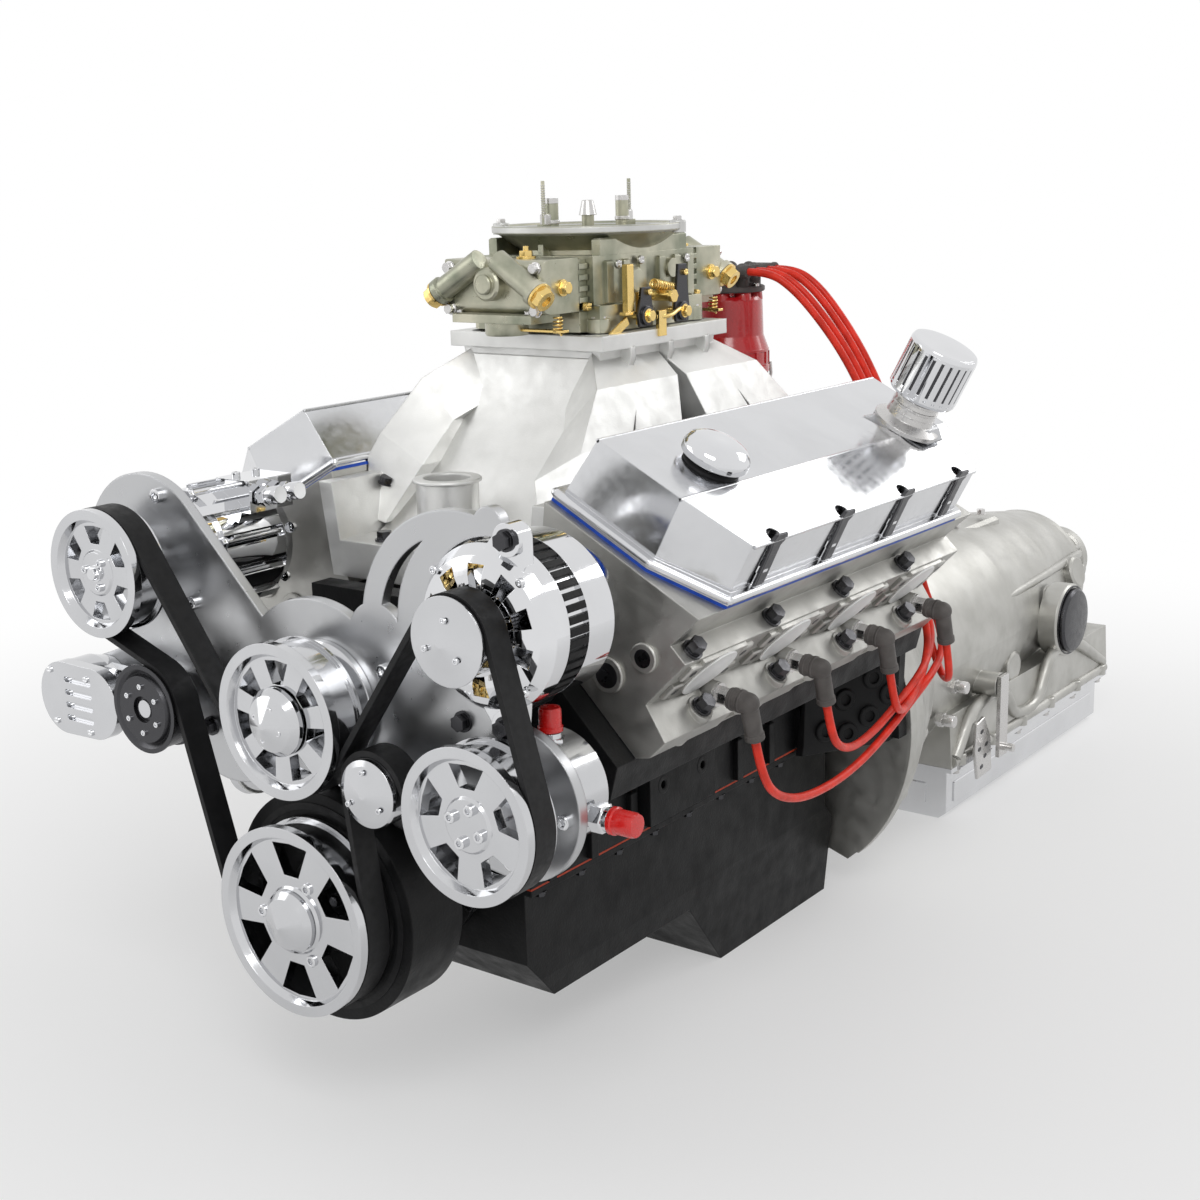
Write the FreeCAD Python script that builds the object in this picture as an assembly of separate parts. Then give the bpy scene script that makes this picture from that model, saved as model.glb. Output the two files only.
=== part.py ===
import FreeCAD, Part
import math
import os

V = FreeCAD.Vector

# All sizes are in millimetres. While it is built, the engine has its crankshaft axis on y,
# x = 0 in the middle, z = 0 on the crankshaft axis and y = 0 at the front face of the block.
# The left bank is on +x, the front faces -y. place() moves each piece to the stored frame,
# whose origin is the middle of the oil pan's flat bottom.

# Block and crank train
BANK_ANGLE = 45.0
BORE_RADIUS = 54.0
BORE_SPACING = 122.9
CYLINDERS_PER_BANK = 4
FIRST_BORE_Y = 85.0
BANK_STAGGER = 25.0
DECK_HEIGHT = 248.9
DECK_OUTER = 66.0
DECK_INNER = 78.0
VALLEY_DEPTH = 100.0
BLOCK_LENGTH = 555.0
RAIL_HALF_WIDTH = 127.0
SKIRT_HEIGHT = 45.0
END_WALL = 24.0
END_RAIL_RISE = 12.8
CRANKCASE_RADIUS = 96.0
BULKHEAD = 24.0
MAIN_JOURNAL_RADIUS = 34.9
ROD_JOURNAL_RADIUS = 27.9
CRANK_THROW = 50.8
ROD_LENGTH = 155.6
COUNTERWEIGHT_RADIUS = 76.0
CRANK_PIN_ANGLES = (0.0, 90.0, 270.0, 180.0)
CRANK_PIN_WIDTH = 46.0
CRANK_SNOUT_RADIUS = 20.3
CAM_HEIGHT = 130.9
CAM_JOURNAL_RADIUS = 24.7
CAM_LOBE_BASE = 15.0
CAM_LOBE_LIFT = 6.0
PISTON_CROWN = 42.0
PISTON_SKIRT = 29.0
PISTON_SLIPPER = 34.0
PISTON_CLEARANCE = 0.1
WRIST_PIN_RADIUS = 12.6
CAM_GEAR_RADIUS = 64.0
CAM_GEAR_TEETH = 42
TIMING_CHAIN_WIDTH = 14.0
TIMING_BACK = -8.0
TIMING_COVER_DEPTH = 42.0
CRANK_FLANGE_RADIUS = 45.0
MAIN_CAP_HALF_WIDTH = 62.0
MAIN_CAP_DEPTH = 62.0
FLEXPLATE_Y = BLOCK_LENGTH + 10.0
FLEXPLATE_RADIUS = 176.0
FLEXPLATE_THICKNESS = 4.0
BELL_RADIUS = 205.0

# Engine mount pads on the sides of the block
ENGINE_PAD_X = 142.0
ENGINE_PAD_Y = 215.0
ENGINE_PAD_Z = 44.0
ENGINE_PAD_SPACING = 66.7
ENGINE_PAD_HOLE = 4.0

# Fits between pieces
RUNNING = 0.05
CLEAR = 0.3
GASKET = 1.2

# Heads and valve covers
HEAD_LENGTH = 500.0
HEAD_FRONT_Y = 25.0
COVER_TILT = 28.0
COVER_RAIL_INWARD = 142.8
COVER_RAIL_RISE = 85.1
COVER_RAIL_WIDTH = 172.0
COVER_HEIGHT = 70.0
COVER_INSET = 9.0
COVER_WALL = 3.0
COVER_RAIL_THICKNESS = 9.0
COVER_GASKET = 3.0
COVER_WELL_RADIUS = 9.0
COVER_WELL_FIRST = 81.0
COVER_WELL_SPACING = 114.0
EXHAUST_FACE = 44.0
EXHAUST_RISE = 69.9
EXHAUST_PORT_RADIUS = 21.0
EXHAUST_COVER_RADIUS = 28.0
EXHAUST_COVER_THICKNESS = 1.5
HEAD_BOLT_RADIUS = 7.5
HEAD_BOLT_HEIGHT = 12.0
LOWER_BOLT_SEAT = (61.0, 41.0)
UPPER_BOLT_SEAT = (30.5, 98.0)
FILLER_A = 95.0
FILLER_Y = 445.0
FILLER_RADIUS = 21.0
FILLER_HEIGHT = 34.0
FILLER_CAP_RADIUS = 34.0
FILLER_CAP_HEIGHT = 54.0
BREATHER_A = 79.0
BREATHER_Y = 120.0
BREATHER_RADIUS = 30.0
BREATHER_HOLE = 16.0
BREATHER_LIFT = 6.0

# Spark plugs, boots and wires: places on the left bank, as (x, offset from the bore, z)
PLUG_OFFSET = 24.0
PLUG_U = 58.0
PLUG_RISE = 45.9
PLUG_REACH = 30.0
PLUG_RADIUS = 5.5
PLUG_HEX = 8.5
PLUG_BOSS_RADIUS = 11.0
BOOT_REACH = (30.7, -3.3)
BOOT_DROP = (0.0, 10.0, -34.0)
BOOT_RADIUS = 9.5
WIRE_RADIUS = 4.0
WIRE_DROP = 32.0
# One list of points for each left cylinder, from below its boot to the rear of the head
WIRE_LOWER_ROUTES = (
    ((279, 152, 70), (276, 200, 50), (273, 262, 43), (270, 325, 46), (267, 385, 58), (264, 440, 74),
     (262, 492, 90), (254, 538, 104), (236, 566, 126), (216, 571, 158)),
    ((277, 273, 79), (271, 312, 66), (266, 365, 68), (262, 420, 80), (258, 480, 97), (246, 526, 110),
     (232, 553, 130), (216, 559, 158)),
    ((277, 392, 82), (269, 424, 76), (261, 464, 85), (252, 502, 101), (240, 532, 124), (221, 545, 158)),
    ((274, 510, 84), (258, 528, 82), (243, 539, 102), (232, 541, 130), (219, 536, 164)),
)
WIRE_LANES = (570.0, 558.0, 546.0, 534.0)
# Each upper point: x, z and how far the wire has moved in y from its lane to its terminal
WIRE_UPPER_ROUTE = ((206, 198, 0.0), (202, 240, 0.0), (193, 286, 0.02), (179, 332, 0.07), (161, 376, 0.18),
                    (141, 416, 0.36), (118, 452, 0.62), (96, 480, 0.86), (71, 497, 1.0))

# Intake and carburettor
CARB_Y = 276.0
CARB_RISE = 121.0
CARB_HALF_LENGTH = 145.0
INTAKE_END_GAP = 16.0
PLENUM_HALF_WIDTH = 82.0
PLENUM_HALF_LENGTH = 95.0
PLENUM_FLANGE = 14.0
AIR_RING_RADIUS = 92.0
HORN_RADIUS = 66.0
VENT_TOWER_OFFSET = 56.0
VENT_TOWER_RADIUS = 6.5
BARREL_RADIUS = 24.0
BARREL_SPACING_X = 58.0
BARREL_SPACING_Y = 60.0
THROTTLE_SHAFT_RADIUS = 4.0
WATER_NECK_Y = 58.0
WATER_NECK_HEIGHT = 98.0
WATER_NECK_RADIUS = 28.0
WATER_NECK_BORE = 21.0

# Distributor
DISTRIBUTOR_Y = BLOCK_LENGTH - 35.0
DISTRIBUTOR_CAP_RADIUS = 45.0
DISTRIBUTOR_CAP_BASE = 388.0
DISTRIBUTOR_CAP_TOP = 470.0
DISTRIBUTOR_STEM_RADIUS = 16.0
DISTRIBUTOR_SHAFT_RADIUS = 6.2
TERMINAL_RING = 30.0
TERMINAL_RADIUS = 5.0
TERMINAL_HEIGHT = 14.0
TERMINAL_BOOT_RADIUS = 7.5
TERMINAL_WIRE_X = 46.0
TERMINAL_WIRE_Z = 497.0

# Front drive: (x, z) of each axis and the radius that the belt runs on
BELT_FRONT = -156.0
BELT_BACK = -132.0
BELT_THICKNESS = 5.0
PULLEY_FRONT = -165.0
CRANK_PULLEY_RADIUS = 78.0
WATER_PUMP_CENTRE = (0.0, 175.0)
WATER_PUMP_RADIUS = 61.0
STEERING_CENTRE = (199.0, 126.0)
STEERING_RADIUS = 58.0
ALTERNATOR_CENTRE = (187.0, 268.0)
ALTERNATOR_RADIUS = 31.0
COMPRESSOR_CENTRE = (-219.0, 273.0)
COMPRESSOR_RADIUS = 52.0
IDLER_CENTRE = (96.0, 131.0)
IDLER_RADIUS = 29.0
TENSIONER_CENTRE = (-173.0, 156.0)
TENSIONER_RADIUS = 38.0
TENSIONER_PIVOT = (-287.0, 148.0)
BRACKET_FRONT = -104.0
BRACKET_BACK = -94.0
BRACKET_POSTS = ((-150.0, 130.0), (-150.0, 185.0), (130.0, 100.0), (150.0, 185.0))
BRACKET_POST_RADIUS = 11.0
DAMPER_RADIUS = 102.0
DAMPER_BACK = -62.0
PULLEY_FLANGE = 5.0
PULLEY_DISH = 6.0
PULLEY_WINDOW_START = 0.5
PULLEY_SPOKE_SHARE = 0.42
WATER_FOOT = (112.0, 160.0)
WATER_FOOT_RADIUS = 24.0
WATER_SHAFT_RADIUS = 9.0
WATER_BACK_FACE = -44.0
INLET_BOSS_RADIUS = 25.0
INLET_RADIUS = 22.0
INLET_WALL = 3.5
INLET_START = (-20.0, -45.0)
INLET_FALL = -0.4
INLET_LENGTH = 138.0
HOSE_RADIUS = 23.0
HOSE_LENGTH = 40.0
INLET_Y = -68.0
ALTERNATOR_CASE_RADIUS = 66.0
ALTERNATOR_SHAFT_RADIUS = 8.5
ALTERNATOR_EAR_FRONT = -120.0
ALTERNATOR_UPPER_EAR = (214.0, 340.0)
ALTERNATOR_LOWER_EAR = (206.0, 194.0)
PS_BODY_RADIUS = 47.0
PS_SHAFT_RADIUS = 8.0
PS_FITTING_Y = -66.0
PS_LOWER_REACH = 66.0
PS_UPPER_REACH = 50.0
TENSIONER_COVER_END = -246.0
TENSIONER_STUB = 8.0

# Oil pan
PAN_GAP = 2.0
PAN_FLANGE = 6.0
SUMP_BOTTOM = -200.0
SUMP_LENGTH = 218.0
SUMP_REAR_Y = BLOCK_LENGTH - 7.0
SUMP_FRONT_Y = SUMP_REAR_Y - SUMP_LENGTH
SUMP_HALF_WIDTH = 108.0
PAN_SHALLOW = -118.0
PAN_WALL = 2.5

# Transmission
BELL_DEPTH = 180.0
BELL_WALL = 8.0
CASE_LENGTH = 780.0
CASE_END_Y = BLOCK_LENGTH + CASE_LENGTH
CASE_RADIUS = 140.0
CASE_END_RADIUS = 98.0
CASE_RIBS = 6
CASE_RIB_SPACING = 90.0
TAIL_LENGTH = 145.0
TAIL_END_Y = CASE_END_Y + TAIL_LENGTH
OUTPUT_STANDOUT = 60.0
OUTPUT_END_Y = TAIL_END_Y + OUTPUT_STANDOUT
OUTPUT_RADIUS = 19.0
OUTPUT_END_RADIUS = 18.0
SPLINE_LENGTH = 26.0
TRANS_PAN_LENGTH = 520.0
TRANS_PAN_REAR_Y = CASE_END_Y - 5.0
TRANS_PAN_FRONT_Y = TRANS_PAN_REAR_Y - TRANS_PAN_LENGTH
TRANS_PAN_HALF_WIDTH = 140.0
TRANS_PAN_TOP = -128.0
CONVERTER_RADIUS = 150.0
SHIFT_Y = TRANS_PAN_FRONT_Y + 95.0
SERVO_Y = CASE_END_Y - 185.0
SERVO_RADIUS = 44.0
SHIFT_Z = -40.0
SHIFT_SHAFT_RADIUS = 7.0

ORIGIN = V(0.0, (SUMP_FRONT_Y + SUMP_REAR_Y) / 2.0, SUMP_BOTTOM)


def bank_point(u, v):
    """(x, z) of a point u outwards and v up the bore direction of the left bank."""
    c = math.cos(math.radians(BANK_ANGLE))
    s = math.sin(math.radians(BANK_ANGLE))
    return (u * c + v * s, v * c - u * s)


# Heights that follow the block's decks
HEAD_BASE = DECK_HEIGHT + GASKET
EXHAUST_CENTRE = HEAD_BASE + EXHAUST_RISE
END_RAIL_HEIGHT = bank_point(-DECK_INNER, DECK_HEIGHT)[1] + END_RAIL_RISE
COVER_RAIL_INNER = bank_point(-COVER_RAIL_INWARD, HEAD_BASE + COVER_RAIL_RISE)
CARB_BASE_Z = COVER_RAIL_INNER[1] + CARB_RISE
WATER_NECK_Z = END_RAIL_HEIGHT + WATER_NECK_HEIGHT


# Small builders shared by the pieces

def rod(radius, y0, y1, x=0.0, z=0.0):
    """A cylinder along y."""
    return Part.makeCylinder(radius, y1 - y0, V(x, y0, z), V(0, 1, 0))


def tube(outer, inner, y0, y1, x=0.0, z=0.0):
    """A hollow cylinder along y."""
    return rod(outer, y0, y1, x, z).cut(rod(inner, y0 - 1, y1 + 1, x, z))


def post(radius, z0, z1, x, y):
    """A cylinder along z."""
    return Part.makeCylinder(radius, z1 - z0, V(x, y, z0))


def block(x0, x1, y0, y1, z0, z1):
    """A box between two corners."""
    return Part.makeBox(x1 - x0, y1 - y0, z1 - z0, V(x0, y0, z0))


def prism(outline, y0, y1):
    """An (x, z) outline pushed along y."""
    points = [V(x, y0, z) for x, z in outline]
    face = Part.Face(Part.makePolygon(points + points[:1]))
    return face.extrude(V(0, y1 - y0, 0))


def mirrored_outline(half):
    """A closed outline from its +x half, listed from the bottom up."""
    return list(half) + [(-x, z) for x, z in reversed(half)]


def turned(profile, x=0.0, z=0.0):
    """A (radius, y) profile turned about the y line through x, z."""
    points = [V(x + radius, y, z) for radius, y in profile]
    face = Part.Face(Part.makePolygon(points + points[:1]))
    return face.revolve(V(x, 0, z), V(0, 1, 0), 360)


def union(pieces):
    """One solid from pieces that touch or overlap."""
    return pieces[0].multiFuse(pieces[1:]).removeSplitter()


def group(pieces):
    """Separate solids kept together in one node."""
    return Part.makeCompound(pieces)


def around(shape, count, x=0.0, z=0.0, start=0.0):
    """Copies of a shape spaced evenly about the y line through x, z."""
    copies = []
    for i in range(count):
        copy = shape.copy()
        copy.rotate(V(x, 0, z), V(0, 1, 0), start + 360.0 * i / count)
        copies.append(copy)
    return copies


def moved(shape, x=0.0, y=0.0, z=0.0):
    copy = shape.copy()
    copy.translate(V(x, y, z))
    return copy


def wrap_face(circles, y):
    """A face whose edge wraps round circles in order, as a belt does.

    Each circle is (x, z, radius, inside), taken counterclockwise seen from the front.
    """
    rims = [(V(x, y, z), radius if inside else -radius) for x, z, radius, inside in circles]
    spans = []
    for i, (here, r0) in enumerate(rims):
        there, r1 = rims[(i + 1) % len(rims)]
        along = there.sub(here)
        length = along.Length
        along.normalize()
        left = V(-along.z, 0, along.x)
        rise = (r0 - r1) / length
        normal = along.multiply(rise).add(left.multiply(-math.sqrt(1 - rise * rise)))
        spans.append((here.add(V(normal).multiply(r0)), there.add(V(normal).multiply(r1))))
    edges = []
    for i, (centre, radius) in enumerate(rims):
        arrive = spans[i - 1][1]
        leave = spans[i][0]
        start = math.atan2(arrive.z - centre.z, arrive.x - centre.x)
        end = math.atan2(leave.z - centre.z, leave.x - centre.x)
        turn = 1 if radius > 0 else -1
        sweep = turn * ((turn * (end - start)) % (2 * math.pi))
        middle = start + sweep / 2.0
        bulge = centre.add(V(math.cos(middle), 0, math.sin(middle)).multiply(abs(radius)))
        edges.append(Part.Arc(arrive, bulge, leave).toShape())
        edges.append(Part.LineSegment(*spans[i]).toShape())
    return Part.Face(Part.Wire(Part.__sortEdges__(edges)))


def wrap(circles, y0, y1):
    """A solid with the outline of wrap_face."""
    return wrap_face(circles, y0).extrude(V(0, y1 - y0, 0))


def capsule(a, b, ra, rb, y0, y1):
    """A straight plate with round ends at a and b."""
    return wrap([(a[0], a[1], ra, True), (b[0], b[1], rb, True)], y0, y1)


def on_left_bank(shape):
    """Stands a shape built with x across and z up the bore on the left bank."""
    copy = shape.copy()
    copy.rotate(V(0, 0, 0), V(0, 1, 0), BANK_ANGLE)
    return copy


def to_right(shape):
    """The same piece on the right bank."""
    return moved(shape.mirror(V(0, 0, 0), V(1, 0, 0)), y=BANK_STAGGER)


def on_cover_rail(shape):
    """Stands a shape built on the plane of the left valve cover's rail."""
    copy = shape.copy()
    copy.rotate(V(0, 0, 0), V(0, 1, 0), COVER_TILT)
    return moved(copy, COVER_RAIL_INNER[0], 0, COVER_RAIL_INNER[1])


def bore_ys():
    return [FIRST_BORE_Y + BORE_SPACING * i for i in range(CYLINDERS_PER_BANK)]


def pin_ys():
    return [y + BANK_STAGGER / 2.0 for y in bore_ys()]


def main_ys():
    """Middles of the main bearings, between and outside the crank pins."""
    pins = pin_ys()
    return [pins[0] - BORE_SPACING / 2.0] + [y + BORE_SPACING / 2.0 for y in pins]


def hex_bolt(radius, height, start, direction):
    """A flanged hexagon bolt head whose flange stands on start."""
    flange = Part.makeCylinder(radius * 1.25, height * 0.2, start, direction)
    d = V(direction)
    d.normalize()
    side = d.cross(V(0, 1, 0) if abs(d.y) < 0.9 else V(1, 0, 0))
    side.normalize()
    across = d.cross(side)
    base = start.add(V(d).multiply(height * 0.2))
    corners = []
    for i in range(6):
        angle = math.radians(60 * i)
        offset = V(side).multiply(radius * math.cos(angle)).add(V(across).multiply(radius * math.sin(angle)))
        corners.append(base.add(offset))
    head = Part.Face(Part.makePolygon(corners + corners[:1])).extrude(V(d).multiply(height * 0.8))
    return flange.fuse(head)


# Block

def block_outline():
    outer = bank_point(DECK_OUTER, DECK_HEIGHT)
    inner = bank_point(-DECK_INNER, DECK_HEIGHT)
    valley = bank_point(-DECK_INNER, DECK_HEIGHT - VALLEY_DEPTH)
    waist = (RAIL_HALF_WIDTH + 12.0, SKIRT_HEIGHT + 16.0)
    return [(RAIL_HALF_WIDTH, 0.0), (RAIL_HALF_WIDTH, SKIRT_HEIGHT), waist,
            (outer[0] - 8.0, outer[1] - 30.0), outer, inner, valley]


def engine_block():
    body = prism(mirrored_outline(block_outline()), 0, BLOCK_LENGTH)
    inner = bank_point(-DECK_INNER, DECK_HEIGHT)
    floor = bank_point(-DECK_INNER, DECK_HEIGHT - VALLEY_DEPTH)
    rail = [(inner[0] - 1.0, floor[1] - 5.0), (inner[0] - 1.0, END_RAIL_HEIGHT)]
    walls = [prism(mirrored_outline(rail), 0, END_WALL),
             prism(mirrored_outline(rail), BLOCK_LENGTH - END_WALL, BLOCK_LENGTH)]
    flange = rod(BELL_RADIUS, BLOCK_LENGTH - 18, BLOCK_LENGTH)
    flange = flange.cut(block(-300, 300, 0, BLOCK_LENGTH + 1, -300, 0))
    pads = []
    for side in (-1, 1):
        x0, x1 = sorted((side * (RAIL_HALF_WIDTH - 4), side * ENGINE_PAD_X))
        pads.append(block(x0, x1, ENGINE_PAD_Y - 55, ENGINE_PAD_Y + 55, 8, 62))
    body = union([body, flange] + walls + pads)
    cuts = crankcase_space() + [rod(CAM_JOURNAL_RADIUS + RUNNING, -1, BLOCK_LENGTH - 12, 0, CAM_HEIGHT)]
    cuts.append(rod(MAIN_JOURNAL_RADIUS + RUNNING, -1, BLOCK_LENGTH + 1))
    cuts.append(rod(CRANK_FLANGE_RADIUS + 1, main_ys()[-1] + BULKHEAD / 2.0, BLOCK_LENGTH + 1))
    cuts.append(post(DISTRIBUTOR_STEM_RADIUS + CLEAR, CAM_HEIGHT, END_RAIL_HEIGHT + 1, 0, DISTRIBUTOR_Y))
    for y in bore_ys():
        bore = on_left_bank(post(BORE_RADIUS, CRANKCASE_RADIUS - 30, DECK_HEIGHT + 1, 0, y))
        cuts += [bore, to_right(bore)]
    for side in (-1, 1):
        for dy in (-ENGINE_PAD_SPACING / 2.0, ENGINE_PAD_SPACING / 2.0):
            start = V(side * (ENGINE_PAD_X + 1), ENGINE_PAD_Y + dy, ENGINE_PAD_Z)
            cuts.append(Part.makeCylinder(ENGINE_PAD_HOLE, 21, start, V(-side, 0, 0)))
    return body.cut(cuts)


def crankcase_space():
    mains = main_ys()
    bays = []
    for front, back in zip(mains[:-1], mains[1:]):
        bays.append(rod(CRANKCASE_RADIUS, front + BULKHEAD / 2.0, back - BULKHEAD / 2.0))
    return bays


def main_caps():
    caps = []
    for y in main_ys():
        width = BULKHEAD - 2.0
        half = [(MAIN_CAP_HALF_WIDTH - 14, -MAIN_CAP_DEPTH), (MAIN_CAP_HALF_WIDTH, 16 - MAIN_CAP_DEPTH),
                (MAIN_CAP_HALF_WIDTH, -CLEAR)]
        cap = prism(mirrored_outline(half), y - width / 2.0, y + width / 2.0)
        caps.append(cap.cut(rod(MAIN_JOURNAL_RADIUS + RUNNING, y - 30, y + 30)))
    return group(caps)


# Crank train

def crankshaft():
    mains = main_ys()
    pins = pin_ys()
    parts = [rod(CRANK_SNOUT_RADIUS, PULLEY_FRONT + 12, mains[0])]
    half_main = BULKHEAD / 2.0 + 1.0
    for y in mains:
        parts.append(rod(MAIN_JOURNAL_RADIUS, y - half_main, y + half_main))
    for pin_y, angle in zip(pins, CRANK_PIN_ANGLES):
        parts += crank_throw(pin_y, angle, half_main)
    parts.append(rod(CRANK_FLANGE_RADIUS, mains[-1] + half_main, FLEXPLATE_Y))
    return union(parts)


def crank_throw(pin_y, angle, half_main):
    """One crank pin at the top with its two cheeks, turned to its angle."""
    half_pin = CRANK_PIN_WIDTH / 2.0
    reach = BORE_SPACING / 2.0 - half_main
    pin = rod(ROD_JOURNAL_RADIUS, pin_y - half_pin - 1, pin_y + half_pin + 1, 0, CRANK_THROW)
    pieces = [pin]
    for y0, y1 in ((pin_y - reach, pin_y - half_pin), (pin_y + half_pin, pin_y + reach)):
        arm = capsule((0, CRANK_THROW), (0, 0), ROD_JOURNAL_RADIUS, MAIN_JOURNAL_RADIUS + 6, y0, y1)
        weight = rod(COUNTERWEIGHT_RADIUS, y0, y1).cut(block(-99, 99, y0 - 1, y1 + 1, -8, 99))
        pieces += [arm, weight]
    for piece in pieces:
        piece.rotate(V(0, 0, 0), V(0, 1, 0), angle)
    return pieces


def toothed_wheel(radius, teeth, y0, y1, z, bore):
    tooth = 2.4
    body = rod(radius - tooth, y0, y1, 0, z)
    half = math.pi * radius / teeth * 0.42
    one = prism([(-half, radius - tooth - 1), (half, radius - tooth - 1), (half * 0.4, radius),
                 (-half * 0.4, radius)], y0 + 3, y1 - 3)
    one.translate(V(0, 0, z))
    return union([body] + around(one, teeth, 0, z)).cut(rod(bore, y0 - 1, y1 + 1, 0, z))


def crank_gear():
    radius = CAM_GEAR_RADIUS / 2.0
    y0 = TIMING_BACK - TIMING_CHAIN_WIDTH
    return toothed_wheel(radius, CAM_GEAR_TEETH // 2, y0, TIMING_BACK, 0, CRANK_SNOUT_RADIUS)


def cam_gear():
    y0 = TIMING_BACK - TIMING_CHAIN_WIDTH
    wheel = toothed_wheel(CAM_GEAR_RADIUS, CAM_GEAR_TEETH, y0, TIMING_BACK, CAM_HEIGHT, 11.0)
    hole = rod(11.0, y0 - 1, TIMING_BACK + 1, 0, CAM_HEIGHT + 36)
    return wheel.cut(around(hole, 5, 0, CAM_HEIGHT))


def timing_chain():
    """The closed run of the chain, standing clear of both wheels' teeth."""
    y0 = TIMING_BACK - TIMING_CHAIN_WIDTH + 1
    y1 = TIMING_BACK - 1
    inner = CLEAR
    outer = CLEAR + 5.0
    runs = []
    for grow in (outer, inner):
        large = CAM_GEAR_RADIUS + grow
        small = CAM_GEAR_RADIUS / 2.0 + grow
        runs.append(capsule((0, CAM_HEIGHT), (0, 0), large, small, y0, y1))
    return runs[0].cut(runs[1])


def camshaft():
    parts = [rod(11.0, TIMING_BACK - TIMING_CHAIN_WIDTH - 2, 0, 0, CAM_HEIGHT)]
    parts.append(rod(CAM_LOBE_BASE - 2, 0, BLOCK_LENGTH - 14, 0, CAM_HEIGHT))
    for y in main_ys():
        parts.append(rod(CAM_JOURNAL_RADIUS, y - 12, y + 12, 0, CAM_HEIGHT))
    for i, y in enumerate(pin_ys()):
        for j, dy in enumerate((-36, -12, 12, 36)):
            angle = math.radians(45 + 90 * i + 100 * j)
            x = CAM_LOBE_LIFT * math.sin(angle)
            z = CAM_LOBE_LIFT * math.cos(angle)
            parts.append(rod(CAM_LOBE_BASE, y + dy - 7, y + dy + 7, x, CAM_HEIGHT + z))
    return union(parts)


def piston_pin_height(pin_angle, bank_angle):
    """Height of the wrist pin up the bore for a crank pin at its angle."""
    a = math.radians(pin_angle - bank_angle)
    swing = CRANK_THROW * math.sin(a)
    return CRANK_THROW * math.cos(a) + math.sqrt(ROD_LENGTH ** 2 - swing ** 2)


def piston(y, height):
    radius = BORE_RADIUS - PISTON_CLEARANCE
    body = post(radius, height - PISTON_SKIRT, height + PISTON_CROWN, 0, y)
    for step in (8, 15, 22):
        z = height + PISTON_CROWN - step
        ring = post(radius + 1, z - 1, z + 1, 0, y).cut(post(radius - 3, z - 2, z + 2, 0, y))
        body = body.cut(ring)
    cuts = [post(radius - 8, height - PISTON_SKIRT - 1, height + 18, 0, y)]
    for side in (-1, 1):
        y0, y1 = sorted((y + side * PISTON_SLIPPER, y + side * (radius + 1)))
        cuts.append(block(-radius, radius, y0, y1, height - PISTON_SKIRT - 1, height - WRIST_PIN_RADIUS - 6))
    body = body.cut(cuts)
    boss = Part.makeCylinder(WRIST_PIN_RADIUS + 4, 2 * radius, V(0, y - radius, height), V(0, 1, 0))
    boss = boss.common(post(radius - 4, height - 25, height + 25, 0, y))
    pin = Part.makeCylinder(WRIST_PIN_RADIUS, 2 * radius - 26, V(0, y - radius + 13, height), V(0, 1, 0))
    gap = block(-60, 60, y - 16, y + 16, height - PISTON_SKIRT - 1, height + 18)
    return union([body, boss.cut(gap), pin])


def pistons():
    made = []
    for y, angle in zip(bore_ys(), CRANK_PIN_ANGLES):
        made.append(on_left_bank(piston(y, piston_pin_height(angle, BANK_ANGLE))))
        made.append(to_right(on_left_bank(piston(y, piston_pin_height(angle, -BANK_ANGLE)))))
    return group(made)


# Heads, covers and what is on them

def rail_point(a, b):
    """(x, z) of a point a outwards along the left cover rail and b above it."""
    c = math.cos(math.radians(COVER_TILT))
    s = math.sin(math.radians(COVER_TILT))
    return (COVER_RAIL_INNER[0] + a * c + b * s, COVER_RAIL_INNER[1] - a * s + b * c)


def in_bank_terms(point):
    """The (u, v) of an (x, z) point on the left bank."""
    c = math.cos(math.radians(BANK_ANGLE))
    s = math.sin(math.radians(BANK_ANGLE))
    return (point[0] * c - point[1] * s, point[0] * s + point[1] * c)


def head_outline():
    """Left head in bank terms: across (u) and up the bore (v)."""
    base = DECK_HEIGHT + GASKET
    ledge = UPPER_BOLT_SEAT[1]
    return [(-DECK_INNER, base), (DECK_OUTER, base), (DECK_OUTER + 8, base + 12), (DECK_OUTER + 8, base + 34),
            (EXHAUST_FACE - 4, base + 42), (EXHAUST_FACE - 4, base + ledge),
            (UPPER_BOLT_SEAT[0] - HEAD_BOLT_RADIUS * 1.4, base + ledge),
            in_bank_terms(rail_point(COVER_RAIL_WIDTH, 0)), in_bank_terms(rail_point(0, 0))]


def cylinder_head():
    y0 = HEAD_FRONT_Y
    y1 = HEAD_FRONT_Y + HEAD_LENGTH
    body = prism(head_outline(), y0, y1)
    base = DECK_HEIGHT + GASKET
    bosses = []
    cuts = []
    for y in bore_ys():
        port = block(EXHAUST_FACE - 20, EXHAUST_FACE, y - 33, y + 33,
                     EXHAUST_CENTRE - 26, EXHAUST_CENTRE + 26)
        bosses.append(port)
        hole = Part.makeCylinder(EXHAUST_PORT_RADIUS, 46, V(EXHAUST_FACE + 1, y, EXHAUST_CENTRE), V(-1, 0, 0))
        cuts.append(hole)
        chamber = Part.makeCylinder(BORE_RADIUS - 8, 14, V(-6, y, base - 1))
        cuts.append(chamber)
    for y in lower_bolt_ys():
        bosses.append(post(12, base, base + LOWER_BOLT_SEAT[1], LOWER_BOLT_SEAT[0], y))
    for y in scallop_ys():
        scallop = Part.makeCylinder(20, 80, V(DECK_OUTER + 12, y, base + 8), V(0, 0, 1))
        cuts.append(scallop)
    body = on_left_bank(union([body] + bosses).cut(cuts))
    plug_bosses = []
    for y in bore_ys():
        seat, axis = plug_seat(y)
        plug_bosses.append(Part.makeCylinder(PLUG_BOSS_RADIUS, 34, seat, V(axis).multiply(-1)))
    return union([body] + plug_bosses)


def lower_bolt_ys():
    return bore_ys()


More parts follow.
